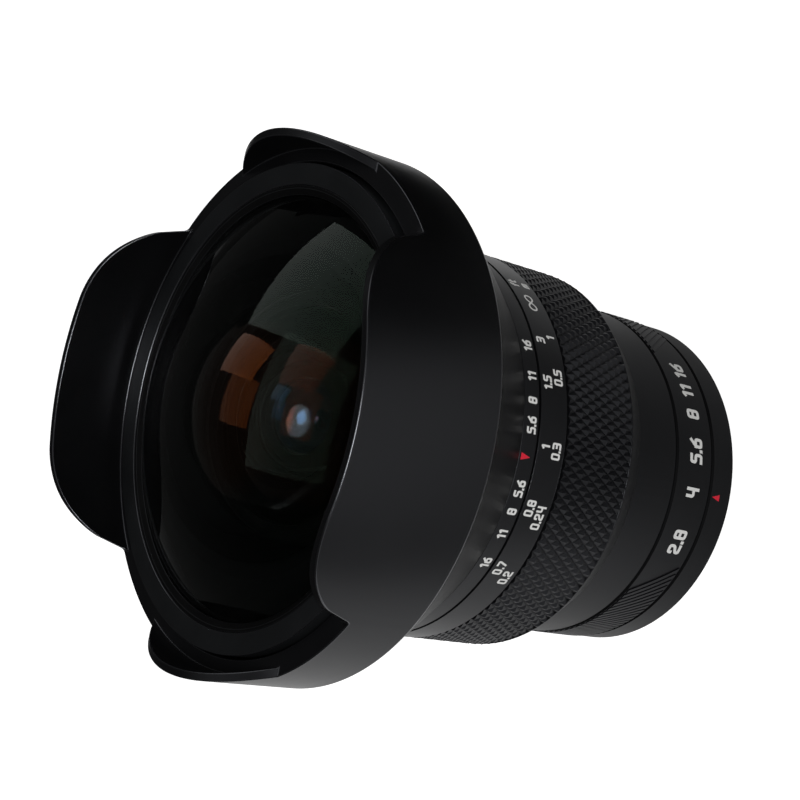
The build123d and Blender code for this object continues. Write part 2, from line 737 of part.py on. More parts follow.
# Heights of the glass surfaces, from the front to the rear
dome_front = cell_top + dome_rise
dome_back = dome_front - dome_thickness
dome_seat = surface_height(dome_back, dome_back_curve, dome_back_radius)
second_front = dome_back - second_gap
second_back = second_front - second_thickness
second_seat = surface_height(second_back, second_back_curve, second_back_radius)
third_front = second_back - third_gap
third_back = third_front - third_thickness
fourth_back = third_back - fourth_thickness
fifth_front = fourth_back - fifth_gap
fifth_back = fifth_front - fifth_thickness
sixth_front = rear_seat - sixth_drop
sixth_back = sixth_front - sixth_thickness
seventh_back = sixth_back - seventh_thickness
eighth_front = seventh_back - eighth_gap
eighth_back = eighth_front - eighth_thickness
ninth_front = eighth_back - ninth_gap
ninth_back = ninth_front - ninth_thickness
tenth_back = ninth_back - tenth_thickness
eleventh_front = tenth_back - eleventh_gap
eleventh_back = eleventh_front - eleventh_thickness
element_sizes = [
    (dome_front, dome_curve, dome_back, dome_back_curve, dome_radius, dome_back_radius),
    (second_front, second_curve, second_back, second_back_curve, second_radius, second_back_radius),
    (third_front, third_curve, third_back, third_back_curve, middle_radius, middle_radius),
    (third_back, third_back_curve, fourth_back, fourth_back_curve, middle_radius, middle_radius),
    (fifth_front, fifth_curve, fifth_back, fifth_back_curve, middle_radius, middle_radius),
    (sixth_front, sixth_curve, sixth_back, sixth_back_curve, rear_radius, rear_radius),
    (sixth_back, sixth_back_curve, seventh_back, seventh_back_curve, rear_radius, rear_radius),
    (eighth_front, eighth_curve, eighth_back, eighth_back_curve, rear_radius, rear_radius),
    (ninth_front, ninth_curve, ninth_back, ninth_back_curve, rear_radius, rear_radius),
    (ninth_back, ninth_back_curve, tenth_back, tenth_back_curve, rear_radius, rear_radius),
    (eleventh_front, eleventh_curve, eleventh_back, eleventh_back_curve, rear_radius, rear_radius),
]

# Front cell: the inner band round the dome, the cone behind it and the tail that seats in the barrel
dome_edge = surface_height(dome_front, dome_curve, dome_radius)
second_edge = surface_height(second_front, second_curve, second_radius)
second_bore = second_radius + running_fit
second_thread = second_bore + retainer_thread
cell_shelf_level = dome_seat - cell_shelf
cell_cone = cell_radius - cell_hub_radius
tail_radius = front_bore - running_fit
cell_throat = tail_radius - cell_tail_wall
with BuildPart() as front_cell:
    revolve(half_section([
        (cell_throat, barrel_top - cell_tail_height), (tail_radius, barrel_top - cell_tail_height),
        (tail_radius, barrel_top), (cell_hub_radius, barrel_top),
        (cell_hub_radius, cell_corner - cell_cone), (cell_radius, cell_corner), (cell_radius, cell_top),
        (thread_radius, cell_top - edge_chamfer), (thread_radius, dome_edge - thread_relief),
        (dome_radius + running_fit, dome_edge - thread_relief), (dome_radius + running_fit, dome_seat),
        (dome_radius - dome_shoulder, dome_seat), (dome_radius - dome_shoulder, cell_shelf_level),
        (second_thread, cell_shelf_level), (second_thread, second_edge - thread_relief / 2),
        (second_bore, second_edge - thread_relief / 2), (second_bore, second_seat),
        (cell_throat, second_seat),
    ]), axis=Axis.Z)

with BuildPart() as front_retainer:
    revolve(retainer_section(dome_front, dome_curve, dome_radius, thread_radius, retainer_height,
                             retainer_bevel), axis=Axis.Z)

with BuildPart() as second_retainer:
    revolve(retainer_section(second_front, second_curve, second_radius, second_thread,
                             cell_shelf_level - second_edge), axis=Axis.Z)

# Middle group: cell, spacer and retaining ring
middle_bore = middle_radius + running_fit
third_edge = surface_height(third_front, third_curve, middle_radius)
middle_lip_bore = middle_radius - middle_lip
middle_floor = surface_height(fifth_back, fifth_back_curve, middle_lip_bore) - seat_fit
middle_thread_radius = middle_bore + middle_thread
middle_top = third_edge + middle_retainer_height
middle_shoulder = middle_seat + middle_flange_height
with BuildPart() as middle_cell:
    revolve(half_section([
        (middle_lip_bore, middle_seat), (tail_radius, middle_seat), (tail_radius, middle_shoulder),
        (middle_cell_radius, middle_shoulder), (middle_cell_radius, middle_top),
        (middle_thread_radius, middle_top),
        (middle_thread_radius, third_edge), (middle_bore, third_edge), (middle_bore, middle_floor),
        (middle_lip_bore, middle_floor),
    ]), axis=Axis.Z)

with BuildPart() as middle_spacer:
    revolve(spacer_section(middle_radius, fourth_back, fourth_back_curve, fifth_front, fifth_curve),
            axis=Axis.Z)

with BuildPart() as middle_retainer:
    revolve(retainer_section(third_front, third_curve, middle_radius, middle_thread_radius,
                             middle_retainer_height), axis=Axis.Z)

# Rear group: cell with two guiding flanges, spacers, retaining ring and lock ring
rear_bore_radius = rear_radius + running_fit
sixth_edge = surface_height(sixth_front, sixth_curve, rear_radius)
rear_lip_bore = rear_radius - rear_cell_lip
rear_floor = surface_height(eleventh_back, eleventh_back_curve, rear_lip_bore) - seat_fit
rear_thread_radius = rear_radius + rear_thread
rear_lip_low = rear_floor - rear_cell_lip_height
rear_cell_low = rear_lip_low - rear_cell_mouth
guide_radius = rear_bore - running_fit
with BuildPart() as rear_cell:
    revolve(half_section([
        (rear_thread_radius, rear_cell_low), (guide_radius, rear_cell_low),
        (guide_radius, rear_cell_low + rear_cell_flange),
        (rear_cell_radius, rear_cell_low + rear_cell_flange),
        (rear_cell_radius, rear_seat - rear_cell_flange), (guide_radius, rear_seat - rear_cell_flange),
        (guide_radius, rear_seat), (rear_thread_radius, rear_seat), (rear_thread_radius, sixth_edge),
        (rear_bore_radius, sixth_edge), (rear_bore_radius, rear_floor), (rear_lip_bore, rear_floor),
        (rear_lip_bore, rear_lip_low), (rear_thread_radius, rear_lip_low),
    ]), axis=Axis.Z)

with BuildPart() as rear_group_retainer:
    revolve(retainer_section(sixth_front, sixth_curve, rear_radius, rear_thread_radius,
                             middle_retainer_height), axis=Axis.Z)

with BuildPart() as rear_lock_ring:
    revolve(ring_section(guide_radius - lock_ring_width, guide_radius, rear_cell_low - lock_ring_height,
                         rear_cell_low), axis=Axis.Z)

# Optical barrel: carries every cell and the iris, and slides when the sleeve turns
drive_clear = degrees(asin((drive_pin + free_gap) / iris_bore))
with BuildPart() as optical_barrel:
    revolve(half_section([
        (rear_bore, barrel_rear), (rear_tube_radius, barrel_rear), (rear_tube_radius, collar_low),
        (collar_radius, collar_low), (collar_radius, barrel_top), (front_bore, barrel_top),
        (front_bore, middle_seat), (iris_bore, middle_seat), (iris_bore, iris_seat),
        (web_opening, iris_seat), (web_opening, rear_seat), (rear_bore, rear_seat),
    ]), axis=Axis.Z)
    radial_holes(follower_places, follower_radius + seat_fit, collar_radius - follower_seat, overrun)
    radial_holes(follower_places, follower_screw + seat_fit, front_bore + seat_fit, overrun)
    drive_slot = sector(iris_bore - free_gap, collar_radius, link_azimuth + f_stop_turns[-1] - drive_clear,
                        link_azimuth + f_stop_turns[0] + drive_clear,
                        Plane.XY.offset(drive_level - drive_pin - pin_play))
    extrude(drive_slot, amount=2 * (drive_pin + pin_play), mode=Mode.SUBTRACT)

with BuildPart() as cam_followers:
    for azimuth, level in follower_places:
        with Locations(radial_plane(azimuth, level, collar_radius - follower_seat)):
            Cylinder(follower_radius, sleeve_radius - free_gap - collar_radius + follower_seat, align=low_end)
            Cylinder(follower_screw, follower_shank, align=high_end)

# Iris: base plate, seven blades, the slotted cam ring above them and its clip
pivots = [step * 360 / blade_count for step in range(blade_count)]
with BuildPart() as iris_base:
    revolve(ring_section(iris_base_opening, iris_bore - seat_fit, iris_seat, iris_seat + iris_base_height),
            axis=Axis.Z)
    with Locations((0, 0, iris_seat)):
        with PolarLocations(pivot_radius, blade_count):
            Cylinder(pivot_pin + pin_play, iris_base_height, align=low_end, mode=Mode.SUBTRACT)


def cam_point(turn):
    """Where a blade's upper pin stands in the cam ring after the aperture ring has turned this far."""
    swing = radians(blade_ratio * (f_stop_turns[0] - turn))
    outwards = pivot_radius - lever_in * cos(swing) + lever_back * sin(swing)
    across = -lever_in * sin(swing) - lever_back * cos(swing)
    return sqrt(outwards ** 2 + across ** 2), degrees(atan2(across, outwards)) - turn


cam_turns = (f_stop_turns[0], f_stop_turns[0] - aperture_travel / 2, f_stop_turns[-1])
cam_path = [cam_point(turn) for turn in cam_turns]
with BuildPart() as iris_cam_ring:
    revolve(ring_section(cam_ring_bore, cam_outer, cam_low, cam_top), axis=Axis.Z)
    with Locations(radial_plane(link_azimuth, drive_level, cam_outer - drive_pin_root)):
        Cylinder(drive_pin, link_bore + link_thickness - cam_outer + drive_pin_root - seat_fit, align=low_end)
    for pivot in pivots:
        with BuildSketch(Plane.XY.offset(cam_low)) as cam_slot:
            with BuildLine():
                ThreePointArc(*[at(radius, azimuth + pivot) for radius, azimuth in cam_path])
                offset(amount=pivot_pin + cam_slot_play, kind=Kind.ARC, side=Side.BOTH)
            make_face()
        extrude(cam_slot.sketch, amount=cam_ring_height, mode=Mode.SUBTRACT)

with BuildPart() as iris_clip:
    clip_face = sector(iris_bore - iris_clip_width, iris_bore - seat_fit, index_azimuth + clip_gap / 2,
                       index_azimuth + 360 - clip_gap / 2, Plane.XY.offset(clip_low))
    extrude(clip_face, amount=iris_clip_height)


def iris_blade(number):
    """One crescent blade with the pivot pin below it and the cam pin above it."""
    low = blade_low + blade_step * number
    pivot = Vector(*at(pivot_radius, pivots[number], low))
    blade_plane = Plane(origin=pivot, x_dir=at(1, pivots[number] + blade_rest_turn), z_dir=(0, 0, 1))
    with BuildPart() as blade:
        crescent = sector(blade_inner, blade_inner + blade_width, -blade_back_span, blade_span, blade_plane,
                          -pivot_radius)
        extrude(crescent, amount=blade_thickness)
        with BuildSketch(blade_plane) as arm:
            Circle(pivot_boss)
            with Locations((-lever_in, -lever_back)):
                Circle(lever_boss)
            make_hull()
        extrude(arm.sketch, amount=blade_thickness)
        with Locations(blade_plane):
            Cylinder(pivot_pin, low - iris_seat - seat_fit, align=high_end)
            with Locations((-lever_in, -lever_back)):
                Cylinder(pivot_pin, cam_top - low - seat_fit, align=low_end)
    return blade.part


# Every piece under the name of its file
pieces = {
    "bayonet_plate": bayonet_plate.part,
    "bayonet_screws": bayonet_screws.part,
    "rear_baffle": rear_baffle.part,
    "mount_base": mount_base.part,
    "mount_dot": mount_dot.part,
    "barrel_screws": barrel_screws.part,
    "main_barrel": main_barrel.part,
    "click_spring": click_spring.part,
    "click_screw": click_screw_piece.part,
    "click_ball": click_ball.part,
    "aperture_ring": aperture_ring.part,
    "aperture_link": aperture_link.part,
    "link_pin": link_pin_piece.part,
    "fixed_band": fixed_band.part,
    "band_grub_screws": grub_screws(band_places, main_radius),
    "focus_stop_screw": focus_stop_screw.part,
    "focus_cam_sleeve": focus_cam_sleeve.part,
    "focus_grip": focus_grip.part,
    "grip_grub_screws": grub_screws(grip_grub_places, sleeve_radius),
    "distance_scale": distance_scale.part,
    "scale_grub_screws": grub_screws(scale_grub_places, sleeve_radius),
    "depth_scale": depth_scale.part,
    "hood": hood.part,
    "hood_screws": hood_screws.part,
    "front_cell": front_cell.part,
    "front_retainer": front_retainer.part,
    "second_retainer": second_retainer.part,
    "middle_cell": middle_cell.part,
    "middle_spacer": middle_spacer.part,
    "middle_retainer": middle_retainer.part,
    "rear_cell": rear_cell.part,
    "rear_group_retainer": rear_group_retainer.part,
    "rear_lock_ring": rear_lock_ring.part,
    "optical_barrel": optical_barrel.part,
    "cam_followers": cam_followers.part,
    "iris_base": iris_base.part,
    "iris_cam_ring": iris_cam_ring.part,
    "iris_clip": iris_clip.part,
}
for number, sizes in enumerate(element_sizes, 1):
    with BuildPart() as element:
        revolve(lens_section(*sizes), axis=Axis.Z)
    pieces[f"element_{number:02d}"] = element.part
for number in range(blade_count):
    pieces[f"iris_blade_{number + 1}"] = iris_blade(number)
rear_gaps = [
    ("rear_spacer_1", seventh_back, seventh_back_curve, eighth_front, eighth_curve),
    ("rear_spacer_2", eighth_back, eighth_back_curve, ninth_front, ninth_curve),
    ("rear_spacer_3", tenth_back, tenth_back_curve, eleventh_front, eleventh_curve),
]
for name, front, front_curve, back, back_curve in rear_gaps:
    with BuildPart() as rear_spacer:
        revolve(spacer_section(rear_radius, front, front_curve, back, back_curve), axis=Axis.Z)
    pieces[name] = rear_spacer.part

for name, piece in pieces.items():
    piece.label = name
    export_step(piece, f"parts/{name}.step")
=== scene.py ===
import math
import bmesh
import bpy
from mathutils import Matrix, Vector


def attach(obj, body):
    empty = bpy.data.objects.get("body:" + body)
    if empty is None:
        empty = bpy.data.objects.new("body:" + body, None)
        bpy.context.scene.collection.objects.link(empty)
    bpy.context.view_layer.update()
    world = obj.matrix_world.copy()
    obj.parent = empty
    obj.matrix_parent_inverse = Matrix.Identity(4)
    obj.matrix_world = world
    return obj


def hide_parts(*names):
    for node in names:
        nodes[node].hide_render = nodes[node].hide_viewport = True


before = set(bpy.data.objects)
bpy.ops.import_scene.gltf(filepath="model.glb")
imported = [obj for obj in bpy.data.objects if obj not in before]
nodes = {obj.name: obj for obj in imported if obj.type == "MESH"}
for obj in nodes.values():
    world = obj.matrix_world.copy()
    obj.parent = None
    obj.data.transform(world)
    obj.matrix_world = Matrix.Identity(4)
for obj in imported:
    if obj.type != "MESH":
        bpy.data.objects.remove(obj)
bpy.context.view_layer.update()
mm = 0.001
mergeReach = 0.0005 * mm
print("frame loaded:", len(nodes), "nodes")


def linear(hexText):
    # sRGB hex to the linear colour that the shaders want
    parts = [int(hexText[i:i + 2], 16) / 255 for i in (1, 3, 5)]
    return [c / 12.92 if c <= 0.04045 else ((c + 0.055) / 1.055) ** 2.4 for c in parts] + [1.0]


def addNode(tree, kind, inputs=None, stops=(), **settings):
    # an input is a value, a socket, or a node whose first output is taken; stops are (position, hex) pairs
    node = tree.nodes.new(kind)
    for name, value in settings.items():
        setattr(node, name, value)
    for name, value in (inputs or {}).items():
        if isinstance(value, bpy.types.Node):
            value = value.outputs[0]
        if isinstance(value, bpy.types.NodeSocket):
            tree.links.new(value, node.inputs[name])
        else:
            node.inputs[name].default_value = value
    for number, (position, hexText) in enumerate(stops):
        node.color_ramp.elements[number].position = position
        node.color_ramp.elements[number].color = linear(hexText)
    return node


def newMaterial(name):
    # the empty material, its tree and its Object coordinates
    material = bpy.data.materials.new(name)
    material.use_nodes = True
    tree = material.node_tree
    tree.nodes.clear()
    return material, tree, addNode(tree, "ShaderNodeTexCoord").outputs["Object"]


def finishMaterial(material, surface):
    addNode(material.node_tree, "ShaderNodeOutputMaterial", {"Surface": surface})
    return material


def noiseScale(size):
    # the size of a pattern in millimetres as the scale of a noise texture, which counts in metres
    return 1000 / size


# what the anodised finishes share, where a look doesn't say otherwise; sizes are in millimetres
anodised = {"smoother": 0.04, "rougher": 0.05, "patchLow": 0.3, "patchHigh": 0.7, "relief": 0.02,
    "ior": 1.5, "tint": "#f3f6ff", "grainSize": 0.1, "turningPitch": 0.25, "turningShare": 0.2,
    "bump": 0.2}


def makeAnodised(name, look):
    # bead-blasted, black anodised aluminium: a dull grey sheen from a very fine even grain,
    # a little darker and lighter in soft patches, with faint turning marks round the axis
    look = {**anodised, **look}
    material, tree, place = newMaterial(name)
    grain = addNode(tree, "ShaderNodeTexNoise", {"Vector": place, "Scale": noiseScale(look["grainSize"])})
    patches = addNode(tree, "ShaderNodeTexNoise", {"Vector": place,
        "Scale": noiseScale(look["patchSize"]), "Detail": 3.0})
    heightOnly = addNode(tree, "ShaderNodeVectorMath", {0: place, 1: (0.0, 0.0, 1.0)}, operation="MULTIPLY")
    turned = addNode(tree, "ShaderNodeTexNoise", {"Vector": heightOnly,
        "Scale": noiseScale(look["turningPitch"])})
    ramp = addNode(tree, "ShaderNodeValToRGB", {"Fac": patches}, [(look["patchLow"], look["dark"]),
        (look["patchHigh"], look["pale"])])
    rough = addNode(tree, "ShaderNodeMapRange", {"Value": patches,
        "To Min": look["roughness"] - look["smoother"], "To Max": look["roughness"] + look["rougher"]})
    heights = addNode(tree, "ShaderNodeMath", {0: turned, 1: look["turningShare"], 2: grain},
        operation="MULTIPLY_ADD")
    bump = addNode(tree, "ShaderNodeBump", {"Strength": look["bump"], "Distance": look["relief"] * mm,
        "Height": heights})
    shader = addNode(tree, "ShaderNodeBsdfPrincipled", {"IOR": look["ior"],
        "Specular IOR Level": look["sheen"], "Specular Tint": linear(look["tint"]), "Base Color": ramp,
        "Roughness": rough, "Normal": bump})
    return finishMaterial(material, shader)


metal = {"smoother": 0.05, "rougher": 0.08, "bump": 0.15, "relief": 0.01}


def makeMetal(name, look):
    # bare or plated metal: bright and sharp, with fine turning or brushing marks
    material, tree, place = newMaterial(name)
    stretched = addNode(tree, "ShaderNodeVectorMath", {0: place, 1: look["grainDirection"]},
        operation="MULTIPLY")
    marks = addNode(tree, "ShaderNodeTexNoise", {"Vector": stretched,
        "Scale": noiseScale(look["markPitch"]), "Detail": 3.0})
    ramp = addNode(tree, "ShaderNodeValToRGB", {"Fac": marks}, [(0.0, look["dark"]), (1.0, look["pale"])])
    rough = addNode(tree, "ShaderNodeMapRange", {"Value": marks,
        "To Min": look["roughness"] - metal["smoother"], "To Max": look["roughness"] + metal["rougher"]})
    bump = addNode(tree, "ShaderNodeBump", {"Strength": metal["bump"], "Distance": metal["relief"] * mm,
        "Height": marks})
    shader = addNode(tree, "ShaderNodeBsdfPrincipled", {"Metallic": 1.0, "Base Color": ramp,
        "Roughness": rough, "Normal": bump})
    return finishMaterial(material, shader)


paint = {"speckleSize": 0.4, "bump": 0.2, "relief": 0.005, "roughness": 0.45}


def makePaint(name, dark, pale):
    # enamel rubbed into the engraved figures: even, slightly grainy, half matt
    material, tree, place = newMaterial(name)
    speckle = addNode(tree, "ShaderNodeTexNoise", {"Vector": place,
        "Scale": noiseScale(paint["speckleSize"])})
    ramp = addNode(tree, "ShaderNodeValToRGB", {"Fac": speckle}, [(0.0, dark), (1.0, pale)])
    bump = addNode(tree, "ShaderNodeBump", {"Strength": paint["bump"], "Distance": paint["relief"] * mm,
        "Height": speckle})
    shader = addNode(tree, "ShaderNodeBsdfPrincipled", {"Roughness": paint["roughness"],
        "Base Color": ramp, "Normal": bump})
    return finishMaterial(material, shader)


glassHaze = {"size": 9.0, "low": 0.45, "high": 0.8, "roughness": 0.015}


def makeGlass(name, look):
    # polished optical glass with a vapour coating: the tint is the colour of its reflections
    material, tree, place = newMaterial(name)
    haze = addNode(tree, "ShaderNodeTexNoise", {"Vector": place, "Scale": noiseScale(glassHaze["size"])})
    rough = addNode(tree, "ShaderNodeMapRange", {"Value": haze, "From Min": glassHaze["low"],
        "From Max": glassHaze["high"], "To Min": 0.0, "To Max": glassHaze["roughness"]})
    shader = addNode(tree, "ShaderNodeBsdfPrincipled", {"Base Color": linear(look["body"]),
        "IOR": look["ior"], "Transmission Weight": 1.0, "Specular Tint": linear(look["coating"]),
        "Specular IOR Level": look["shine"], "Roughness": rough})
    return finishMaterial(material, shader)


def makeRearCoat(name, look):
    # the steep hollow side of the dome takes a thinner coating towards its edge,
    # so its reflections run from amber in the middle to steel blue outside
    material, tree, place = newMaterial(name)
    flat = addNode(tree, "ShaderNodeVectorMath", {0: place, 1: (1.0, 1.0, 0.0)}, operation="MULTIPLY")
    reach = addNode(tree, "ShaderNodeVectorMath", {0: flat}, operation="LENGTH")
    across = addNode(tree, "ShaderNodeMapRange", {"Value": reach.outputs["Value"],
        "From Min": look["amberRadius"] * mm, "From Max": look["blueRadius"] * mm})
    ramp = addNode(tree, "ShaderNodeValToRGB", {"Fac": across}, [(0.0, look["amber"]),
        (1.0, look["blue"])])
    shader = addNode(tree, "ShaderNodeBsdfPrincipled", {"Base Color": linear(look["body"]),
        "IOR": look["ior"], "Transmission Weight": 1.0, "Roughness": 0.0,
        "Specular IOR Level": look["shine"], "Specular Tint": ramp})
    return finishMaterial(material, shader)


# the grain is drawn a little coarser than real, so that it shows
hoodBlack = makeAnodised("anodised aluminium, hood", {
    "dark": "#060607", "pale": "#09090a", "roughness": 0.33, "grainSize": 0.12, "patchSize": 14.0,
    "turningPitch": 0.35, "turningShare": 0.3, "bump": 0.22, "sheen": 0.34})
flareBlack = makeAnodised("anodised aluminium, hood flare", {
    "dark": "#050506", "pale": "#080809", "roughness": 0.4, "grainSize": 0.12, "patchSize": 14.0,
    "turningPitch": 0.3, "turningShare": 0.5, "bump": 0.22, "sheen": 0.17})
barrelBlack = makeAnodised("anodised aluminium, rings", {
    "dark": "#060607", "pale": "#0a0a0b", "roughness": 0.38, "patchSize": 9.0, "turningShare": 0.5,
    "sheen": 0.3})
knurlBlack = makeAnodised("anodised aluminium, knurl", {
    "dark": "#08080a", "pale": "#0c0c0e", "roughness": 0.36, "patchSize": 6.0, "sheen": 0.38})
bandBlack = makeAnodised("anodised aluminium, inner band", {
    "dark": "#0f1011", "pale": "#151617", "roughness": 0.3, "patchSize": 12.0, "turningPitch": 0.3,
    "turningShare": 0.8, "bump": 0.25, "sheen": 0.34})
cutEdge = makeAnodised("anodised aluminium, cut edges", {
    "dark": "#0c0c0d", "pale": "#111113", "roughness": 0.24, "patchSize": 5.0, "bump": 0.1, "sheen": 1.0})
# lacquer and ink have the same patches and marks, but next to no sheen: they swallow the light
chamberBlack = makeAnodised("matt black lacquer", {
    "dark": "#050505", "pale": "#080808", "roughness": 0.7, "grainSize": 0.2, "patchSize": 8.0,
    "turningPitch": 0.5, "turningShare": 0.8, "bump": 0.4, "sheen": 0.06})
edgeInk = makeAnodised("matt black ink, glass edge", {
    "dark": "#040404", "pale": "#060606", "roughness": 0.8, "grainSize": 0.2, "patchSize": 6.0,
    "turningPitch": 0.5, "sheen": 0.05})
chromedBrass = makeMetal("chromed brass", {
    "dark": "#b4b3b0", "pale": "#d2d1cd", "roughness": 0.22, "markPitch": 0.3, "grainDirection": (1, 1, 1)})
turnedBrass = makeMetal("turned brass", {
    "dark": "#a98a45", "pale": "#c4a35c", "roughness": 0.3, "markPitch": 0.3, "grainDirection": (0, 0, 1)})
blackSteel = makeMetal("blackened steel", {
    "dark": "#2a2a2c", "pale": "#3a3a3d", "roughness": 0.35, "markPitch": 0.2, "grainDirection": (1, 1, 1)})
springSteel = makeMetal("spring steel", {
    "dark": "#3a3a3c", "pale": "#55555a", "roughness": 0.3, "markPitch": 0.2, "grainDirection": (1, 0.1, 1)})
whiteEnamel = makePaint("white enamel", "#cfcfcd", "#e2e2e0")
redEnamel = makePaint("red enamel", "#c00f2a", "#dc1f38")
domeGlass = makeGlass("optical glass, green coating", {
    "body": "#f4faf6", "coating": "#5c7a68", "ior": 1.52, "shine": 0.35})
amberGlass = makeGlass("optical glass, amber coating", {
    "body": "#fbf6ee", "coating": "#a8461e", "ior": 1.52, "shine": 0.4})
blueGlass = makeGlass("optical glass, blue coating", {
    "body": "#eef4fb", "coating": "#6f93c9", "ior": 1.6, "shine": 0.5})
domeRearCoat = makeRearCoat("optical glass, rear coating", {
    "body": "#f8f8f4", "amber": "#ff842a", "blue": "#485058", "amberRadius": 13.5, "blueRadius": 17.0,
    "ior": 1.52, "shine": 1.0})
print("materials made")


def linked(name, data):
    thing = bpy.data.objects.new(name, data)
    bpy.context.scene.collection.objects.link(thing)
    return thing


def meshOf(name, bm, *materials):
    mesh = bpy.data.meshes.new(name)
    bm.to_mesh(mesh)
    bm.free()
    for material in materials:
        mesh.materials.append(material)
    return mesh


def settle(piece, body, replaced=()):
    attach(piece, body)
    if replaced:
        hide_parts(*replaced)
    return piece


def finishMesh(name, bm, materials, body, replaced, sharpDegrees=35):
    bmesh.ops.remove_doubles(bm, verts=bm.verts, dist=mergeReach)
    bmesh.ops.recalc_face_normals(bm, faces=bm.faces)
    mesh = meshOf(name, bm, *materials)
    mesh.shade_smooth()
    mesh.set_sharp_from_angle(angle=math.radians(sharpDegrees))
    return settle(linked(name, mesh), body, replaced)


def bakeModifiers(piece):
    # the evaluated shape becomes a plain mesh, and the modifiers go
    evaluated = piece.evaluated_get(bpy.context.evaluated_depsgraph_get())
    mesh = bpy.data.meshes.new_from_object(evaluated)
    piece.modifiers.clear()
    piece.data = mesh
    return piece


def softenEdges(piece, width, segments, limitDegrees, clamped=True):
    # rounds the sharp edges; the rounding gets the piece's second material
    bevel = piece.modifiers.new("softEdges", "BEVEL")
    bevel.width = width * mm
    bevel.use_clamp_overlap = clamped
    bevel.segments = segments
    bevel.limit_method = "ANGLE"
    bevel.angle_limit = math.radians(limitDegrees)
    bevel.harden_normals = True
    bevel.material = 1
    bakeModifiers(piece)


def polar(r, turn, z):
    return (r * mm * math.cos(turn), r * mm * math.sin(turn), z * mm)


def revolved(bm, outline, around):
    # the (r, z) outline at each of its places round the axis
    turns = [2 * math.pi * step / around for step in range(around)]
    return [[bm.verts.new(polar(r, turn, z)) for r, z in outline] for turn in turns]


def skin(bm, rows, rowsClose=True, outlineCloses=True):
    # faces between each row of points and the next
    faces = []
    for here, there in zip(rows, rows[1:] + (rows[:1] if rowsClose else [])):
        for k in range(len(here) if outlineCloses else len(here) - 1):
            n = (k + 1) % len(here)
            faces.append(bm.faces.new((here[k], there[k], there[n], here[n])))
    return faces


# an arc takes this share of a side at most
cornerSteps = 3
cornerShare = 0.45


def roundCorners(outline, radius):
    # replaces each corner of a closed (r, z) outline by a small arc
    rounded = []
    count = len(outline)
    for i in range(count):
        before, corner, after = (Vector(outline[(i + k) % count]) for k in (-1, 0, 1))
        reach = min(radius, (before - corner).length * cornerShare, (after - corner).length * cornerShare)
        start = corner + (before - corner).normalized() * reach
        end = corner + (after - corner).normalized() * reach
        for step in range(cornerSteps + 1):
            t = step / cornerSteps
            rounded.append(tuple(start * (1 - t) ** 2 + corner * 2 * t * (1 - t) + end * t ** 2))
    return rounded


ringColumns = 320


def turnedRing(name, outline, material, body, replaced, edge, edgeFinish=cutEdge, inside=None):
    bm = bmesh.new()
    faces = skin(bm, revolved(bm, roundCorners(outline, edge), ringColumns))
    for number, face in enumerate(faces):
        # each corner's arc is cut edge, and the stretch after it is plain
        face.material_index = 0 if number % (cornerSteps + 1) == cornerSteps else 1
        middle = face.calc_center_median() / mm
        if inside and middle.xy.length < inside["radius"] and middle.z < inside["level"]:
            # what lies behind the front glass is lacquered matt
            face.material_index = 2
    finishes = [material, edgeFinish] + ([chamberBlack] if inside else [])
    return finishMesh(name, bm, finishes, body, replaced)


# sizes in millimetres; the steps count the columns and rows of faces
hoodSizes = {"outer": 44.8, "wallInner": 43.4, "bore": 41.0, "floor": 84.6, "flareTop": 72.3,
    "edge": 0.45, "rear": 57.9, "rearRadius": 34.4, "flangeTop": 60.9, "flangeCorner": 33.27,
    "shellTop": 72.1, "throat": 26.8, "largeHalf": 29.6, "largeHeight": 13.9, "smallHalf": 19.05,
    "smallHeight": 7.1, "bevel": 0.22, "bevelDegrees": 30, "smallSteps": 16, "rimSteps": 14,
    "topSteps": 12, "flareSteps": 5, "wallSteps": 6, "innerSteps": 3}
# the hollow in millimetres from the foot; the rest as shares of the half width and the height
petalShape = {"hollow": ((0.0, 0.0), (-0.35, 0.12), (-0.6, 0.55)), "knee": (0.932, 0.374),
    "shoulder": ((0.818, 0.719), (0.662, 0.924)), "topHalf": 0.456, "kneeWay": (-0.4, 1.0),
    "kneeReach": 0.36, "topReach": 0.2, "steps": 8}


def largePetalPoints():
    # a small hollow at the foot, a straight flank, then an arc-like shoulder into the flat top
    p, half, high = petalShape, hoodSizes["largeHalf"], hoodSizes["largeHeight"]
    marks = [Vector((x * half, z * high)) for x, z in (p["knee"], *p["shoulder"], (p["topHalf"], 1.0))]
    tangents = [Vector(p["kneeWay"]) * p["kneeReach"] * high, (marks[2] - marks[0]) * 0.5,
                (marks[3] - marks[1]) * 0.5, Vector((-1.0, 0.0)) * p["topReach"] * half]
    points = [(half + x, z) for x, z in p["hollow"]] + [tuple(marks[0])]
    for a, b, ta, tb in zip(marks, marks[1:], tangents, tangents[1:]):
        for step in range(1, p["steps"] + 1):
            t = step / p["steps"]
            points.append(tuple(a * (2 * t ** 3 - 3 * t ** 2 + 1) + ta * (t ** 3 - 2 * t ** 2 + t)
                                + b * (3 * t ** 2 - 2 * t ** 3) + tb * (t ** 3 - t ** 2)))
    points.append((0.0, high))
    return points


def heightAt(points, x):
    # height at x of the line through (x, height) points that run towards the middle
    for (x0, h0), (x1, h1) in zip(points, points[1:]):
        if x1 <= x <= x0:
            return h0 + (h1 - h0) * (x0 - x) / (x0 - x1)
    return points[-1][1]


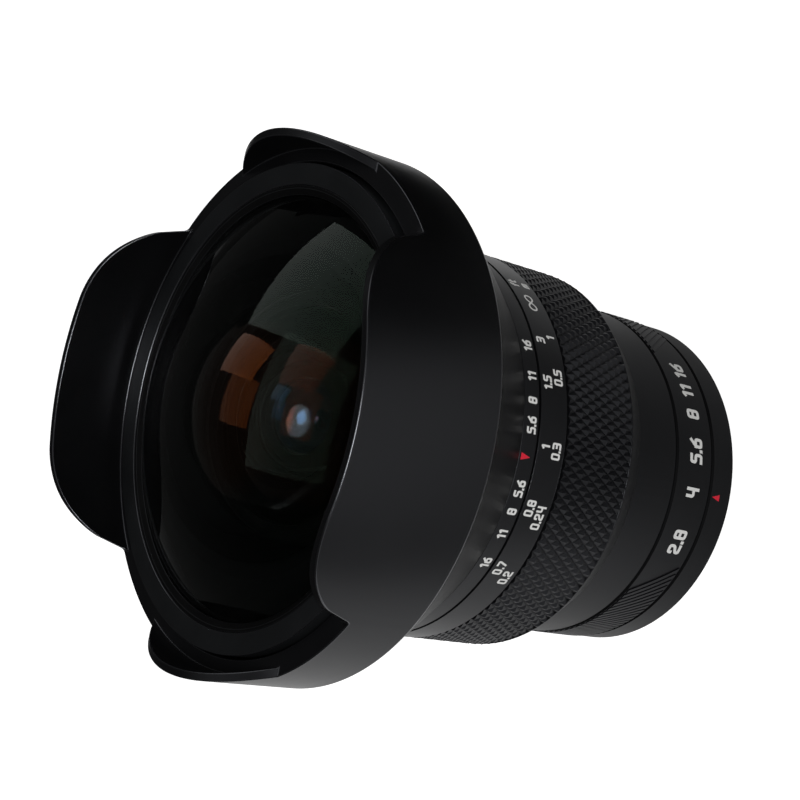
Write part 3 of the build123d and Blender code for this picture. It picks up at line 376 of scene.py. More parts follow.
def hoodColumns():
    # all columns round the hood: (outer angle, inner angle, rise of the rim)
    s = hoodSizes
    large = largePetalPoints()
    smallRadius = (s["smallHalf"] ** 2 + s["smallHeight"] ** 2) / (2 * s["smallHeight"])
    quarter = []
    for step in range(s["smallSteps"] + 1):
        y = s["smallHalf"] * step / s["smallSteps"]
        rise = math.sqrt(smallRadius ** 2 - y ** 2) - (smallRadius - s["smallHeight"])
        quarter.append((math.asin(y / s["outer"]), math.asin(y / s["wallInner"]), rise))
    smallOuter, smallInner = quarter[-1][:2]
    largeOuter, largeInner = (math.acos(s["largeHalf"] / s[wall]) for wall in ("outer", "wallInner"))
    for step in range(1, s["rimSteps"]):
        t = step / s["rimSteps"]
        quarter.append((smallOuter + (largeOuter - smallOuter) * t,
                        smallInner + (largeInner - smallInner) * t, 0.0))
    flatTop = [large[-2][0] * (1 - k / s["topSteps"]) for k in range(1, s["topSteps"] + 1)]
    for x in [point[0] for point in large[:-1]] + flatTop:
        quarter.append((math.acos(x / s["outer"]), math.acos(x / s["wallInner"]), heightAt(large, x)))
    return (quarter + [(math.pi - o, math.pi - i, h) for o, i, h in reversed(quarter[:-1])]
            + [(math.pi + o, math.pi + i, h) for o, i, h in quarter[1:]]
            + [(2 * math.pi - o, 2 * math.pi - i, h) for o, i, h in reversed(quarter[1:-1])])


def makeHood():
    s = hoodSizes
    flareOuter, wallLow = s["outer"] - s["edge"], s["flareTop"] + s["edge"]
    bm = bmesh.new()
    grid = []
    for outer, inner, rise in hoodColumns():
        top = s["floor"] + rise
        column = [(s["rearRadius"] + (flareOuter - s["rearRadius"]) * k / s["flareSteps"],
                   s["rear"] + (s["flareTop"] - s["rear"]) * k / s["flareSteps"], outer)
                  for k in range(s["flareSteps"] + 1)]
        column += [(s["outer"], wallLow + (top - wallLow) * k / s["wallSteps"], outer)
                   for k in range(s["wallSteps"] + 1)]
        column += [(s["wallInner"], top + (s["floor"] - top) * k / s["innerSteps"], inner)
                   for k in range(s["innerSteps"] + 1)]
        column += [(s[r], s[z], inner) for r, z in (("bore", "floor"), ("bore", "shellTop"),
                   ("flangeCorner", "flangeTop"), ("throat", "flangeTop"), ("throat", "rear"))]
        grid.append([bm.verts.new(polar(r, turn, z)) for r, z, turn in column])
    skin(bm, grid)
    bmesh.ops.remove_doubles(bm, verts=bm.verts, dist=0.001 * mm)
    bmesh.ops.dissolve_degenerate(bm, edges=bm.edges, dist=0.001 * mm)
    bmesh.ops.recalc_face_normals(bm, faces=bm.faces)
    mesh = meshOf("hoodShell", bm, hoodBlack, cutEdge, flareBlack)
    mesh.shade_smooth()
    for face in mesh.polygons:
        middle = face.center / mm
        if middle.z < s["flareTop"] - s["edge"] and middle.xy.length > s["rearRadius"]:
            face.material_index = 2
    piece = linked("hoodShell", mesh)
    softenEdges(piece, s["bevel"], 3, s["bevelDegrees"], clamped=False)
    settle(piece, "fixed_barrel", ["hood"])
    print("hood made:", len(piece.data.polygons), "faces")


makeHood()

# the cell from its tail at the rear to the broad band in front, then down the inside
cellSizes = {"throat": 19.0, "tail": 51.5, "tailOuter": 22.4, "rear": 57.0, "hub": 26.4, "corner": 77.5,
    "outer": 40.5, "top": 86.1, "inner": 36.8, "leadWidth": 0.1, "leadTop": 85.85, "leadFoot": 85.6,
    "ringSeat": 83.68, "glassBore": 36.05, "glassShelf": 76.5, "shelfInner": 33.5, "floor": 75.5,
    "secondOuter": 22.8, "secondTop": 72.7, "secondBore": 22.05, "secondShelf": 69.54, "edge": 0.16}
c = cellSizes
turnedRing("frontCellBody", [
    (c["throat"], c["tail"]), (c["tailOuter"], c["tail"]), (c["tailOuter"], c["rear"]), (c["hub"], c["rear"]),
    (c["hub"], c["corner"] - (c["outer"] - c["hub"])), (c["outer"], c["corner"]), (c["outer"], c["top"]),
    (c["inner"] + c["leadWidth"], c["leadTop"]), (c["inner"], c["leadFoot"]), (c["inner"], c["ringSeat"]),
    (c["glassBore"], c["ringSeat"]), (c["glassBore"], c["glassShelf"]), (c["shelfInner"], c["glassShelf"]),
    (c["shelfInner"], c["floor"]), (c["secondOuter"], c["floor"]), (c["secondOuter"], c["secondTop"]),
    (c["secondBore"], c["secondTop"]), (c["secondBore"], c["secondShelf"]), (c["throat"], c["secondShelf"])],
    bandBlack, "optical_unit", ["front_cell"], c["edge"], inside={"radius": 36.2, "level": 84.0})
ringSizes = {"outer": 36.78, "seat": 84.3, "foot": 36.0, "bore": 35.3, "boreLow": 84.87,
    "boreHigh": 85.15, "rim": 36.3, "top": 85.69, "edge": 0.06}
r = ringSizes
turnedRing("frontGlassRing", [
    (r["outer"], r["seat"]), (r["foot"], r["seat"]), (r["bore"], r["boreLow"]), (r["bore"], r["boreHigh"]),
    (r["rim"], r["top"]), (r["outer"], r["top"])],
    chamberBlack, "optical_unit", ["front_retainer"], r["edge"], edgeFinish=bandBlack)

# front and back are the heights of the two surfaces on the axis, with their radii of curvature
glassSizes = {
    "domeGlass": {"node": "element_01", "front": 96.8, "frontCurve": 58.0, "back": 93.8, "backCurve": 26.0,
                  "radius": 36.0, "backRadius": 24.5, "around": 256,
                  "finishes": [domeGlass, edgeInk, domeRearCoat]},
    "secondGlass": {"node": "element_02", "front": 80.0, "frontCurve": 38.0, "back": 78.0, "backCurve": 15.0,
                    "radius": 22.0, "backRadius": 13.5, "around": 192,
                    "finishes": [amberGlass, edgeInk, blueGlass]},
}
glassSteps = 40


def sphereHeight(apex, curve, r):
    return apex - curve + math.sqrt(curve * curve - r * r)


def makeGlassPiece(name, s):
    shares = [k / glassSteps for k in range(glassSteps + 1)]
    outline = [(s["radius"] * t, sphereHeight(s["front"], s["frontCurve"], s["radius"] * t)) for t in shares]
    outline.append((s["radius"], sphereHeight(s["back"], s["backCurve"], s["backRadius"])))
    outline += [(s["backRadius"] * t, sphereHeight(s["back"], s["backCurve"], s["backRadius"] * t))
                for t in reversed(shares)]
    bm = bmesh.new()
    skin(bm, revolved(bm, outline, s["around"]), outlineCloses=False)
    bmesh.ops.remove_doubles(bm, verts=bm.verts, dist=mergeReach)
    bmesh.ops.dissolve_degenerate(bm, edges=bm.edges, dist=0.0001 * mm)
    piece = finishMesh(name, bm, s["finishes"], "optical_unit", [s["node"]], 25)
    for face in piece.data.polygons:
        # the ground edge and the flat behind it are inked black, and the hollow side has its own coating
        reach = face.center.xy.length / mm
        flat = abs(face.normal.z) > 0.999 and reach > s["backRadius"] + 0.01
        if flat or (abs(face.normal.z) < 0.001 and reach > s["radius"] - 0.1):
            face.material_index = 1
        elif face.normal.z < 0:
            face.material_index = 2


for name, sizes in glassSizes.items():
    makeGlassPiece(name, sizes)
print("front glass made")

# the turned rings: CAD node, body, width of the rounding, finish and finish of the edges
ringFinishes = {
    "depthScaleRing": ("depth_scale", "fixed_barrel", 0.08, barrelBlack, None),
    "distanceScaleRing": ("distance_scale", "focus_ring", 0.1, barrelBlack, cutEdge),
    "fixedBand": ("fixed_band", "fixed_barrel", 0.14, barrelBlack, chamberBlack),
    "apertureRingBody": ("aperture_ring", "aperture_control", 0.1, barrelBlack, chamberBlack),
    "mountRing": ("mount_base", "fixed_barrel", 0.14, barrelBlack, chamberBlack),
    "bayonetPlate": ("bayonet_plate", "fixed_barrel", 0.1, chromedBrass, None),
}
softening = {"merge": 0.002, "flatDegrees": 0.6, "sharpDegrees": 25, "slantLow": 0.25, "slantHigh": 0.97}


def softenedCopy(name, node, body, width, material, edgeFinish):
    # the CAD piece again, its loose triangles merged to clean faces and its edges rounded
    bm = bmesh.new()
    bm.from_mesh(nodes[node].data)
    bmesh.ops.remove_doubles(bm, verts=bm.verts, dist=softening["merge"] * mm)
    bmesh.ops.dissolve_limit(bm, angle_limit=math.radians(softening["flatDegrees"]), verts=bm.verts,
                             edges=bm.edges)
    mesh = meshOf(name, bm)
    mesh.shade_smooth()
    mesh.set_sharp_from_angle(angle=math.radians(softening["sharpDegrees"]))
    mesh.materials.clear()
    mesh.materials.append(material)
    mesh.materials.append(edgeFinish or material)
    piece = linked(name, mesh)
    softenEdges(piece, width, 2, softening["sharpDegrees"])
    if edgeFinish:
        # the slanted chamfers of the CAD piece take the finish of the edges
        for face in piece.data.polygons:
            if softening["slantLow"] < abs(face.normal.z) < softening["slantHigh"]:
                face.material_index = 1
    settle(piece, body, [node])


for name, settings in ringFinishes.items():
    softenedCopy(name, *settings)
print("rings made")


def newTree(name, inputs):
    # a geometry tree with its named inputs; returns the tree, the input sockets and their identifiers
    tree = bpy.data.node_groups.new(name, "GeometryNodeTree")
    tree.interface.new_socket("Geometry", in_out="OUTPUT", socket_type="NodeSocketGeometry")
    known = {}
    for title, value in inputs.items():
        kind = "NodeSocketMaterial" if isinstance(value, bpy.types.Material) else (
            "NodeSocketInt" if isinstance(value, int) else "NodeSocketFloat")
        known[title] = tree.interface.new_socket(title, in_out="INPUT", socket_type=kind).identifier
    given = tree.nodes.new("NodeGroupInput")
    return tree, {title: given.outputs[title] for title in inputs}, known


def finishTree(tree, geometry, finish):
    finished = addNode(tree, "GeometryNodeSetMaterial", {"Geometry": geometry, "Material": finish})
    addNode(tree, "NodeGroupOutput", {"Geometry": finished})


def grow(name, tree, known, values):
    # runs the tree on an empty mesh and keeps the result as a plain mesh
    piece = linked(name, bpy.data.meshes.new(name))
    modifier = piece.modifiers.new(name, "NODES")
    modifier.node_group = tree
    for title, value in values.items():
        modifier[known[title]] = value
    return bakeModifiers(piece)


def clipEnds(piece, low, high, keep=None):
    # cuts the piece off between two heights, closes the cuts, and drops what keep turns down
    bm = bmesh.new()
    bm.from_mesh(piece.data)
    for level, way in ((low, -1), (high, 1)):
        bmesh.ops.bisect_plane(bm, geom=bm.verts[:] + bm.edges[:] + bm.faces[:], dist=1e-7,
                               plane_co=(0, 0, level * mm), plane_no=(0, 0, way), clear_outer=True)
    bmesh.ops.holes_fill(bm, edges=[e for e in bm.edges if e.is_boundary], sides=0)
    bmesh.ops.recalc_face_normals(bm, faces=bm.faces)
    if keep:
        bmesh.ops.delete(bm, geom=[v for v in bm.verts if not keep(v.co / mm)], context="VERTS")
        loose = [f for f in bm.faces if any(e.is_boundary for e in f.edges)]
        bmesh.ops.delete(bm, geom=loose, context="FACES")
    bm.to_mesh(piece.data)
    bm.free()


holeSides = 24


def cutHoles(piece, azimuths, level, radius, start, end):
    # radial screw holes, cut by one cutter mesh
    bm = bmesh.new()
    for azimuth in azimuths:
        turn = Matrix.Rotation(math.radians(azimuth), 4, "Z") @ Matrix.Rotation(math.radians(90), 4, "Y")
        shift = turn @ Vector((-level * mm, 0, (start + end) / 2 * mm))
        bmesh.ops.create_cone(bm, cap_ends=True, segments=holeSides, radius1=radius * mm, radius2=radius * mm,
                              depth=(end - start) * mm, matrix=Matrix.Translation(shift) @ turn)
    cutter = linked("cutter", meshOf("cutter", bm))
    cut = piece.modifiers.new("holes", "BOOLEAN")
    cut.operation = "DIFFERENCE"
    cut.object = cutter
    bakeModifiers(piece)
    piece.data.set_sharp_from_angle(angle=math.radians(35))
    bpy.data.objects.remove(cutter)


gripSizes = {"bore": 30.9, "lip": 0.4, "low": 27.15, "skirtRadius": 34.4, "skirtEdge": 0.25,
    "skirtTop": 32.65, "rootLow": 0.12, "radius": 34.5, "root": 34.05, "knurlTop": 47.65, "rim": 0.1,
    "top": 48.15, "groove": 33.6, "edge": 0.1, "columns": 120, "rows": 11, "pointTop": 0.2, "clip": 0.05,
    "screwAzimuths": (30, 90, 150), "screwLevel": 42.95, "screwHole": 0.92, "screwClear": 1.9,
    "cutPast": 2.0}


def knurlTree(values):
    # a grid of points wrapped round the grip, each odd row half a column on, with a blunt pyramid on each
    tree, given, known = newTree("knurl", values)
    points = addNode(tree, "GeometryNodeMeshGrid", {"Vertices X": given["Columns"],
        "Vertices Y": given["Rows"]})
    index = addNode(tree, "GeometryNodeInputIndex")
    row = addNode(tree, "ShaderNodeMath", {0: index, 1: given["Rows"]}, operation="MODULO")
    share = addNode(tree, "ShaderNodeMath", {0: index, 1: given["Rows"]}, operation="DIVIDE")
    column = addNode(tree, "ShaderNodeMath", {0: share}, operation="FLOOR")
    odd = addNode(tree, "ShaderNodeMath", {0: row, 1: 2.0}, operation="MODULO")
    shifted = addNode(tree, "ShaderNodeMath", {0: odd, 1: 0.5, 2: column}, operation="MULTIPLY_ADD")
    angle = addNode(tree, "ShaderNodeMath", {0: shifted, 1: given["Turn"]}, operation="MULTIPLY")
    level = addNode(tree, "ShaderNodeMath", {0: row, 1: given["Row Pitch"], 2: given["Low"]},
        operation="MULTIPLY_ADD")
    start = addNode(tree, "ShaderNodeCombineXYZ", {"X": given["Root Radius"], "Z": level})
    place = addNode(tree, "ShaderNodeVectorRotate", {"Vector": start, "Angle": angle},
        rotation_type="Z_AXIS")
    outward = addNode(tree, "ShaderNodeVectorRotate", {"Vector": (1.0, 0.0, 0.0), "Angle": angle},
        rotation_type="Z_AXIS")
    placed = addNode(tree, "GeometryNodeSetPosition", {"Geometry": points, "Position": place})
    turn = addNode(tree, "FunctionNodeAxesToRotation", {"Primary Axis": outward,
        "Secondary Axis": (0, 0, 1)}, primary_axis="Z", secondary_axis="Y")
    size = addNode(tree, "ShaderNodeCombineXYZ", {"X": given["Half Width"], "Y": given["Row Pitch"],
        "Z": given["Tip Height"]})
    point = addNode(tree, "GeometryNodeMeshCone", {"Vertices": 4, "Radius Top": gripSizes["pointTop"],
        "Radius Bottom": 1.0, "Depth": 1.0})
    many = addNode(tree, "GeometryNodeInstanceOnPoints", {"Points": placed, "Instance": point,
        "Rotation": turn, "Scale": size})
    real = addNode(tree, "GeometryNodeRealizeInstances", {"Geometry": many})
    finishTree(tree, real, given["Finish"])
    return tree, known


def makeGrip():
    s = gripSizes
    body = turnedRing("gripBody", [
        (s["bore"], s["low"]), (s["bore"] + s["lip"], s["low"]),
        (s["skirtRadius"], s["skirtTop"] - s["skirtEdge"]), (s["skirtRadius"], s["skirtTop"]),
        (s["root"], s["skirtTop"] + s["rootLow"]), (s["root"], s["knurlTop"] - s["rim"]),
        (s["groove"], s["knurlTop"] - s["rim"]), (s["groove"], s["top"]), (s["bore"], s["top"])],
        barrelBlack, "focus_ring", ["focus_grip"], s["edge"], edgeFinish=barrelBlack)
    cutHoles(body, s["screwAzimuths"], s["screwLevel"], s["screwHole"], s["bore"] - s["cutPast"],
             s["radius"] + s["cutPast"])
    values = {"Columns": s["columns"], "Rows": s["rows"], "Root Radius": s["root"] * mm,
        "Tip Height": (s["radius"] - s["root"]) * mm, "Low": s["skirtTop"] * mm,
        "Row Pitch": (s["knurlTop"] - s["skirtTop"]) / (s["rows"] - 1) * mm,
        "Turn": 2 * math.pi / s["columns"], "Half Width": s["root"] * math.pi / s["columns"] * mm,
        "Finish": knurlBlack}
    tree, known = knurlTree(values)
    knurl = grow("gripKnurl", tree, known, values)
    holes = [Vector(polar(s["radius"], math.radians(a), s["screwLevel"])) / mm for a in s["screwAzimuths"]]
    clipEnds(knurl, s["skirtTop"] + s["clip"], s["knurlTop"],
             lambda place: all((place - hole).length > s["screwClear"] for hole in holes))
    settle(knurl, "focus_ring")
    print("grip made:", len(knurl.data.polygons), "faces in the knurl")


makeGrip()

ribSizes = {"radius": 30.7, "low": 7.85, "high": 16.1, "count": 109, "pitchDegrees": 2.5, "start": -33.0,
    "width": 0.62, "height": 0.2, "slopeDegrees": 38.0, "past": 1.5, "segments": 9}


def makeApertureRibs():
    # slanted bars side by side on a flat strip, bent round the ring and cut off at its two ends
    s = ribSizes
    slope = math.radians(s["slopeDegrees"])
    values = {"Count": s["count"], "Pitch": math.radians(s["pitchDegrees"]) * s["radius"] * mm,
        "Radius": s["radius"] * mm, "Start": math.radians(s["start"]), "Width": s["width"] * mm,
        "Height": 2 * s["height"] * mm, "Slope": slope, "Middle": (s["low"] + s["high"]) / 2 * mm,
        "Length": ((s["high"] - s["low"]) / math.cos(slope) + s["past"]) * mm, "Finish": knurlBlack}
    tree, given, known = newTree("slantedRibs", values)
    offset = addNode(tree, "ShaderNodeCombineXYZ", {"X": given["Pitch"]})
    line = addNode(tree, "GeometryNodeMeshLine", {"Count": given["Count"], "Offset": offset})
    size = addNode(tree, "ShaderNodeCombineXYZ", {"X": given["Width"], "Y": given["Length"],
        "Z": given["Height"]})
    rib = addNode(tree, "GeometryNodeMeshCube", {"Vertices Y": s["segments"], "Size": size})
    lean = addNode(tree, "ShaderNodeCombineXYZ", {"Z": given["Slope"]})
    many = addNode(tree, "GeometryNodeInstanceOnPoints", {"Points": line, "Instance": rib,
        "Rotation": lean})
    real = addNode(tree, "GeometryNodeRealizeInstances", {"Geometry": many})
    position = addNode(tree, "GeometryNodeInputPosition")
    flat = addNode(tree, "ShaderNodeSeparateXYZ", {"Vector": position}).outputs
    share = addNode(tree, "ShaderNodeMath", {0: flat["X"], 1: given["Radius"]}, operation="DIVIDE")
    angle = addNode(tree, "ShaderNodeMath", {0: given["Start"], 1: share}, operation="ADD")
    radius = addNode(tree, "ShaderNodeMath", {0: given["Radius"], 1: flat["Z"]}, operation="ADD")
    level = addNode(tree, "ShaderNodeMath", {0: given["Middle"], 1: flat["Y"]}, operation="ADD")
    start = addNode(tree, "ShaderNodeCombineXYZ", {"X": radius, "Z": level})
    wrapped = addNode(tree, "ShaderNodeVectorRotate", {"Vector": start, "Angle": angle},
        rotation_type="Z_AXIS")
    bent = addNode(tree, "GeometryNodeSetPosition", {"Geometry": real, "Position": wrapped})
    finishTree(tree, bent, given["Finish"])
    ribs = grow("apertureRibs", tree, known, values)
    clipEnds(ribs, s["low"], s["high"])
    settle(ribs, "aperture_control")
    print("aperture ribs made:", s["count"])


makeApertureRibs()

# squared figures as strokes on a box 0.56 wide and 1 high; a closed stroke ends where it starts
figureStrokes = {
    "0": (0.56, [[(0, 0), (0.56, 0), (0.56, 1), (0, 1), (0, 0)]]),
    "1": (0.24, [[(0.0, 0.8), (0.24, 1), (0.24, 0)]]),
    "2": (0.56, [[(0, 0.78), (0, 1), (0.56, 1), (0.56, 0.56), (0, 0.3), (0, 0), (0.56, 0)]]),
    "3": (0.56, [[(0, 1), (0.56, 1), (0.56, 0), (0, 0)], [(0.12, 0.52), (0.56, 0.52)]]),
    "4": (0.56, [[(0, 1), (0, 0.42), (0.56, 0.42)], [(0.56, 1), (0.56, 0)]]),
    "5": (0.56, [[(0.54, 1), (0, 1), (0, 0.56), (0.56, 0.56), (0.56, 0), (0, 0)]]),
    "6": (0.56, [[(0.5, 1), (0, 0.56), (0, 0), (0.56, 0), (0.56, 0.56), (0, 0.56)]]),
    "7": (0.52, [[(0, 1), (0.52, 1), (0.52, 0.8), (0.16, 0)]]),
    "8": (0.56, [[(0, 0), (0.56, 0), (0.56, 1), (0, 1), (0, 0)], [(0, 0.53), (0.56, 0.53)]]),
    ".": (-0.14, [[(-0.07, 0), (-0.07, 0.03)]]),
    "f": (0.3, [[(0.34, 1), (0.1, 1), (0.1, 0)], [(0, 0.62), (0.3, 0.62)]]),
    "t": (0.3, [[(0.1, 1), (0.1, 0), (0.34, 0)], [(0, 0.68), (0.3, 0.68)]]),
    "m": (0.72, [[(0, 0), (0, 0.7), (0.72, 0.7), (0.72, 0)], [(0.36, 0.7), (0.36, 0)]]),
}
# the stroke, gap and corner as shares of the height; sunk, proud, step and base in millimetres
figureLook = {"stroke": 0.26, "gap": 0.42, "narrow": 0.86, "corner": 0.17, "share": 0.4, "sunk": 0.025,
    "proud": 0.036, "step": 0.002, "base": 0.02}
markProud = 0.038
loopShape = {"steps": 48, "wide": 1.5, "high": 1.9, "share": 0.72, "half": 0.1, "ahead": 0.01}
pointerSize = {"width": 1.2, "length": 2.0}


def ribbonCorners(top):
    # the four corners of a ribbon's section: side and height
    return (1, -figureLook["sunk"]), (1, top), (-1, top), (-1, -figureLook["sunk"])


def strokeInto(bm, points, top):
    # a flat solid ribbon with rounded corners along a stroke
    width = figureLook["stroke"]
    closed = points[0] == points[-1]
    path = [Vector(p) for p in (points[:-1] if closed else points)]
    if not closed:
        # an open stroke ends half its width past its last point, flush with the corners
        path[0], path[-1] = (end + (end - inner).normalized() * width / 2
                             for end, inner in ((path[0], path[1]), (path[-1], path[-2])))
    rounded = []
    for i, corner in enumerate(path):
        if not closed and i in (0, len(path) - 1):
            rounded.append(corner)
            continue
        before, after = path[i - 1] - corner, path[(i + 1) % len(path)] - corner
        reach = min(figureLook["corner"], before.length * figureLook["share"],
            after.length * figureLook["share"])
        a, b = corner + before.normalized() * reach, corner + after.normalized() * reach
        rounded += [a * (1 - t) ** 2 + corner * 2 * t * (1 - t) + b * t * t for t in (0, 0.25, 0.5, 0.75, 1)]
    rows = []
    count = len(rounded)
    for i, point in enumerate(rounded):
        ways = []
        if closed or i:
            ways.append((point - rounded[i - 1]).normalized())
        if closed or i < count - 1:
            ways.append((rounded[(i + 1) % count] - point).normalized())
        way = sum(ways[1:], ways[0]).normalized()
        side = Vector((-way.y, way.x)) * width / 2 / max(way.dot(ways[0]), 0.5)
        rows.append([bm.verts.new((*(point + side * a), b)) for a, b in ribbonCorners(top)])
    skin(bm, rows, rowsClose=closed)
    if not closed:
        bm.faces.new(rows[0])
        bm.faces.new(rows[-1])


def textMesh(words, height):
    # engraved figures as thin solid strokes, centred on their own middle
    s = figureLook
    bm = bmesh.new()
    along = 0
    for letter in words:
        width, strokes = figureStrokes[letter]
        for number, points in enumerate(strokes):
            # strokes that cross differ a little in height, so that no two faces share a plane
            strokeInto(bm, [(x + along, y) for x, y in points], s["proud"] + s["step"] * number)
        along += width + s["gap"]
    middle = (along - s["gap"]) / 2
    scale = height * (1 - s["stroke"])
    for vert in bm.verts:
        vert.co = ((vert.co.x - middle) * s["narrow"] * scale * mm, (vert.co.y - 0.5) * scale * mm,
                   vert.co.z * mm)
    return meshOf("figures", bm)


def loopMesh(height):
    # the sign for infinity: a ribbon along a figure of eight
    s = loopShape
    bm = bmesh.new()
    rows = []
    for step in range(s["steps"]):
        start = 2 * math.pi * step / s["steps"]
        middle, ahead = (Vector((s["wide"] * math.cos(t), s["high"] * math.sin(t) * math.cos(t), 0))
                         / (1 + math.sin(t) ** 2) * height * s["share"] for t in (start, start + s["ahead"]))
        side = (ahead - middle).normalized().cross(Vector((0, 0, 1))) * height * s["half"]
        rows.append([bm.verts.new((middle + side * a + Vector((0, 0, b))) * mm)
                     for a, b in ribbonCorners(markProud)])
    skin(bm, rows)
    return meshOf("loop", bm)


def triangleMesh(width, length):
    bm = bmesh.new()
    corners = [(-width / 2, length / 2), (width / 2, length / 2), (0, -length / 2)]
    low, high = ([bm.verts.new((x * mm, y * mm, z * mm)) for x, y in corners]
                 for z in (-figureLook["sunk"], markProud))
    bm.faces.new(low)
    bm.faces.new(high)
    skin(bm, [low, high], rowsClose=False)
    return meshOf("pointer", bm)


def markRow(name, row, finish):
    # all marks of a row as one mesh, each bent round the barrel at its degrees from the index
    bm = bmesh.new()
    for words, azimuth in row["marks"]:
        if words == "loop":
            mesh = loopMesh(row["height"])
        elif words in ("down", "up"):
            mesh = triangleMesh(pointerSize["width"], pointerSize["length"] * (1 if words == "down" else -1))
        else:
            mesh = textMesh(words, row["height"])
        for vert in mesh.vertices:
            turn = math.radians(-90 - azimuth) + vert.co.x / (row["radius"] * mm)
            reach = (row["radius"] - figureLook["base"]) * mm + vert.co.z
            vert.co = (reach * math.cos(turn), reach * math.sin(turn), row["level"] * mm + vert.co.y)
        bm.from_mesh(mesh)
        bpy.data.meshes.remove(mesh)
    bmesh.ops.recalc_face_normals(bm, faces=bm.faces)
    settle(linked(name, meshOf(name, bm, finish)), row["body"])


scaleRows = {
    "depthFigures": {"body": "fixed_barrel", "radius": 34.4, "level": 56.1, "height": 2.1,
        "marks": [("16", -31), ("11", -22), ("8", -15.3), ("5.6", -8.6), ("5.6", 8.6), ("8", 15),
                  ("11", 21.7), ("16", 31)]},
    "feetFigures": {"body": "focus_ring", "radius": 34.5, "level": 52.65, "height": 2.1,
        "marks": [("ft", -55.5), ("3", -34), ("1.5", -21.3), ("1", -3.7), ("0.8", 13.2), ("0.7", 32)]},
    "metreFigures": {"body": "focus_ring", "radius": 34.5, "level": 50.15, "height": 2.1,
        "marks": [("m", -55.5), ("1", -35.5), ("0.5", -23.3), ("0.3", -3), ("0.24", 15.5), ("0.2", 35)]},
    "endlessMark": {"body": "focus_ring", "radius": 34.5, "level": 51.4, "height": 1.6,
        "marks": [("loop", -47.5)]},
    "stopFigures": {"body": "aperture_control", "radius": 30.7, "level": 11.65, "height": 3.5,
        "marks": [("16", -44), ("11", -35.6), ("8", -26.8), ("5.6", -14), ("4", 0), ("2.8", 17.2)]},
    "distancePointer": {"body": "fixed_barrel", "radius": 34.4, "level": 56.5, "marks": [("down", 0)]},
    "stopPointer": {"body": "fixed_barrel", "radius": 30.7, "level": 5.35, "marks": [("up", 0)]},
}
for name, row in scaleRows.items():
    markRow(name, row, redEnamel if "Pointer" in name else whiteEnamel)
print("figures made")

# the CAD pieces that stay get their finish; what isn't named here is lacquered matt
innerFinishes = (
    (blackSteel, ["hood_screws", "barrel_screws", "bayonet_screws", "grip_grub_screws", "scale_grub_screws",
                  "band_grub_screws", "focus_stop_screw", "click_screw"]
     + [node for node in nodes if node.startswith("iris_blade")]),
    (springSteel, ["click_spring", "iris_clip", "click_ball"]),
    (turnedBrass, ["cam_followers", "link_pin", "aperture_link"]),
    (whiteEnamel, ["mount_dot"]),
    (amberGlass, ["element_04", "element_06", "element_09"]),
    (blueGlass, ["element_03", "element_05", "element_07", "element_08", "element_10", "element_11"]),
)
finishOf = {node: finish for finish, names in innerFinishes for node in names}
for node, piece in nodes.items():
    for slot in piece.material_slots:
        slot.material = finishOf.get(node, chamberBlack)
print("inner pieces finished")

# camera at the photograph's angle: it looks down on the standing lens, turned on its side
view = {"sensor": 36.0, "lens": 73.81, "nearest": 0.01, "place": (-5.20, -223.16, 234.72),
    "right": (0.19018, -0.61941, -0.76168), "up": (0.98095, 0.08867, 0.17282), "back": (-0.03951,
    -0.78004, 0.62448)}
camera = linked("camera", bpy.data.cameras.new("camera"))
camera.data.sensor_width = view["sensor"]
camera.data.lens = view["lens"]
camera.data.clip_start = view["nearest"]
camera.matrix_world = (Matrix.Translation(Vector(view["place"]) * mm)
                       @ Matrix((view["right"], view["up"], view["back"])).transposed().to_4x4())
bpy.context.scene.camera = camera

# places in millimetres: the paper and the card beside the lens
studio = {"floorSize": 80000, "floorLevel": -4.45, "floorWhite": 0.86, "floorGlow": 0.45,
    "floorSeen": 0.78, "fibreScale": 400.0, "fibreBump": 0.05, "fibreRelief": 0.1, "worldLight": 0.05,
    "worldMirrored": 0.03, "cardNear": -260, "cardFar": 80, "cardLow": -4, "cardHigh": 110,
    "cardAside": 90, "cardSlant": 0.105}
# painted shade on the paper outside the picture: its share of white falls from start to end,
# measured along a direction in the floor; far in front a painted lightening makes it a little lighter again
paperPaintedShading = {
    "right": {"along": (1.0, -0.105, 0.0), "start": 104, "end": 150, "share": 0.3},
    "left": {"along": (1.0, -0.105, 0.0), "start": -72, "end": -100, "share": 0.76},
    "front": {"along": (-0.222, 1.0, 0.0), "start": -44, "end": -75, "share": 0.2},
    "farFront": {"along": (-0.222, 1.0, 0.0), "start": -90, "end": -150, "share": 3.0},
    "back": {"along": (-0.466, 1.0, 0.0), "start": 295, "end": 370, "share": 0.08},
}
# painted shadow on the paper round the lens: its white is darkened near the lens, and painted shade dims the
# glow that the lens mirrors
paperPaintedShadows = {
    "paintedContactShade": {"middle": (25, -25, 0), "start": 20, "end": 72, "share": 0.35},
    "mirrored": {"middle": (0, 0, 0), "start": 45, "end": 100, "share": 0.1},
}


def flatSheet(name, corners, material):
    bm = bmesh.new()
    bm.faces.new([bm.verts.new(Vector(corner) * mm) for corner in corners])
    return linked(name, meshOf(name, bm, material))


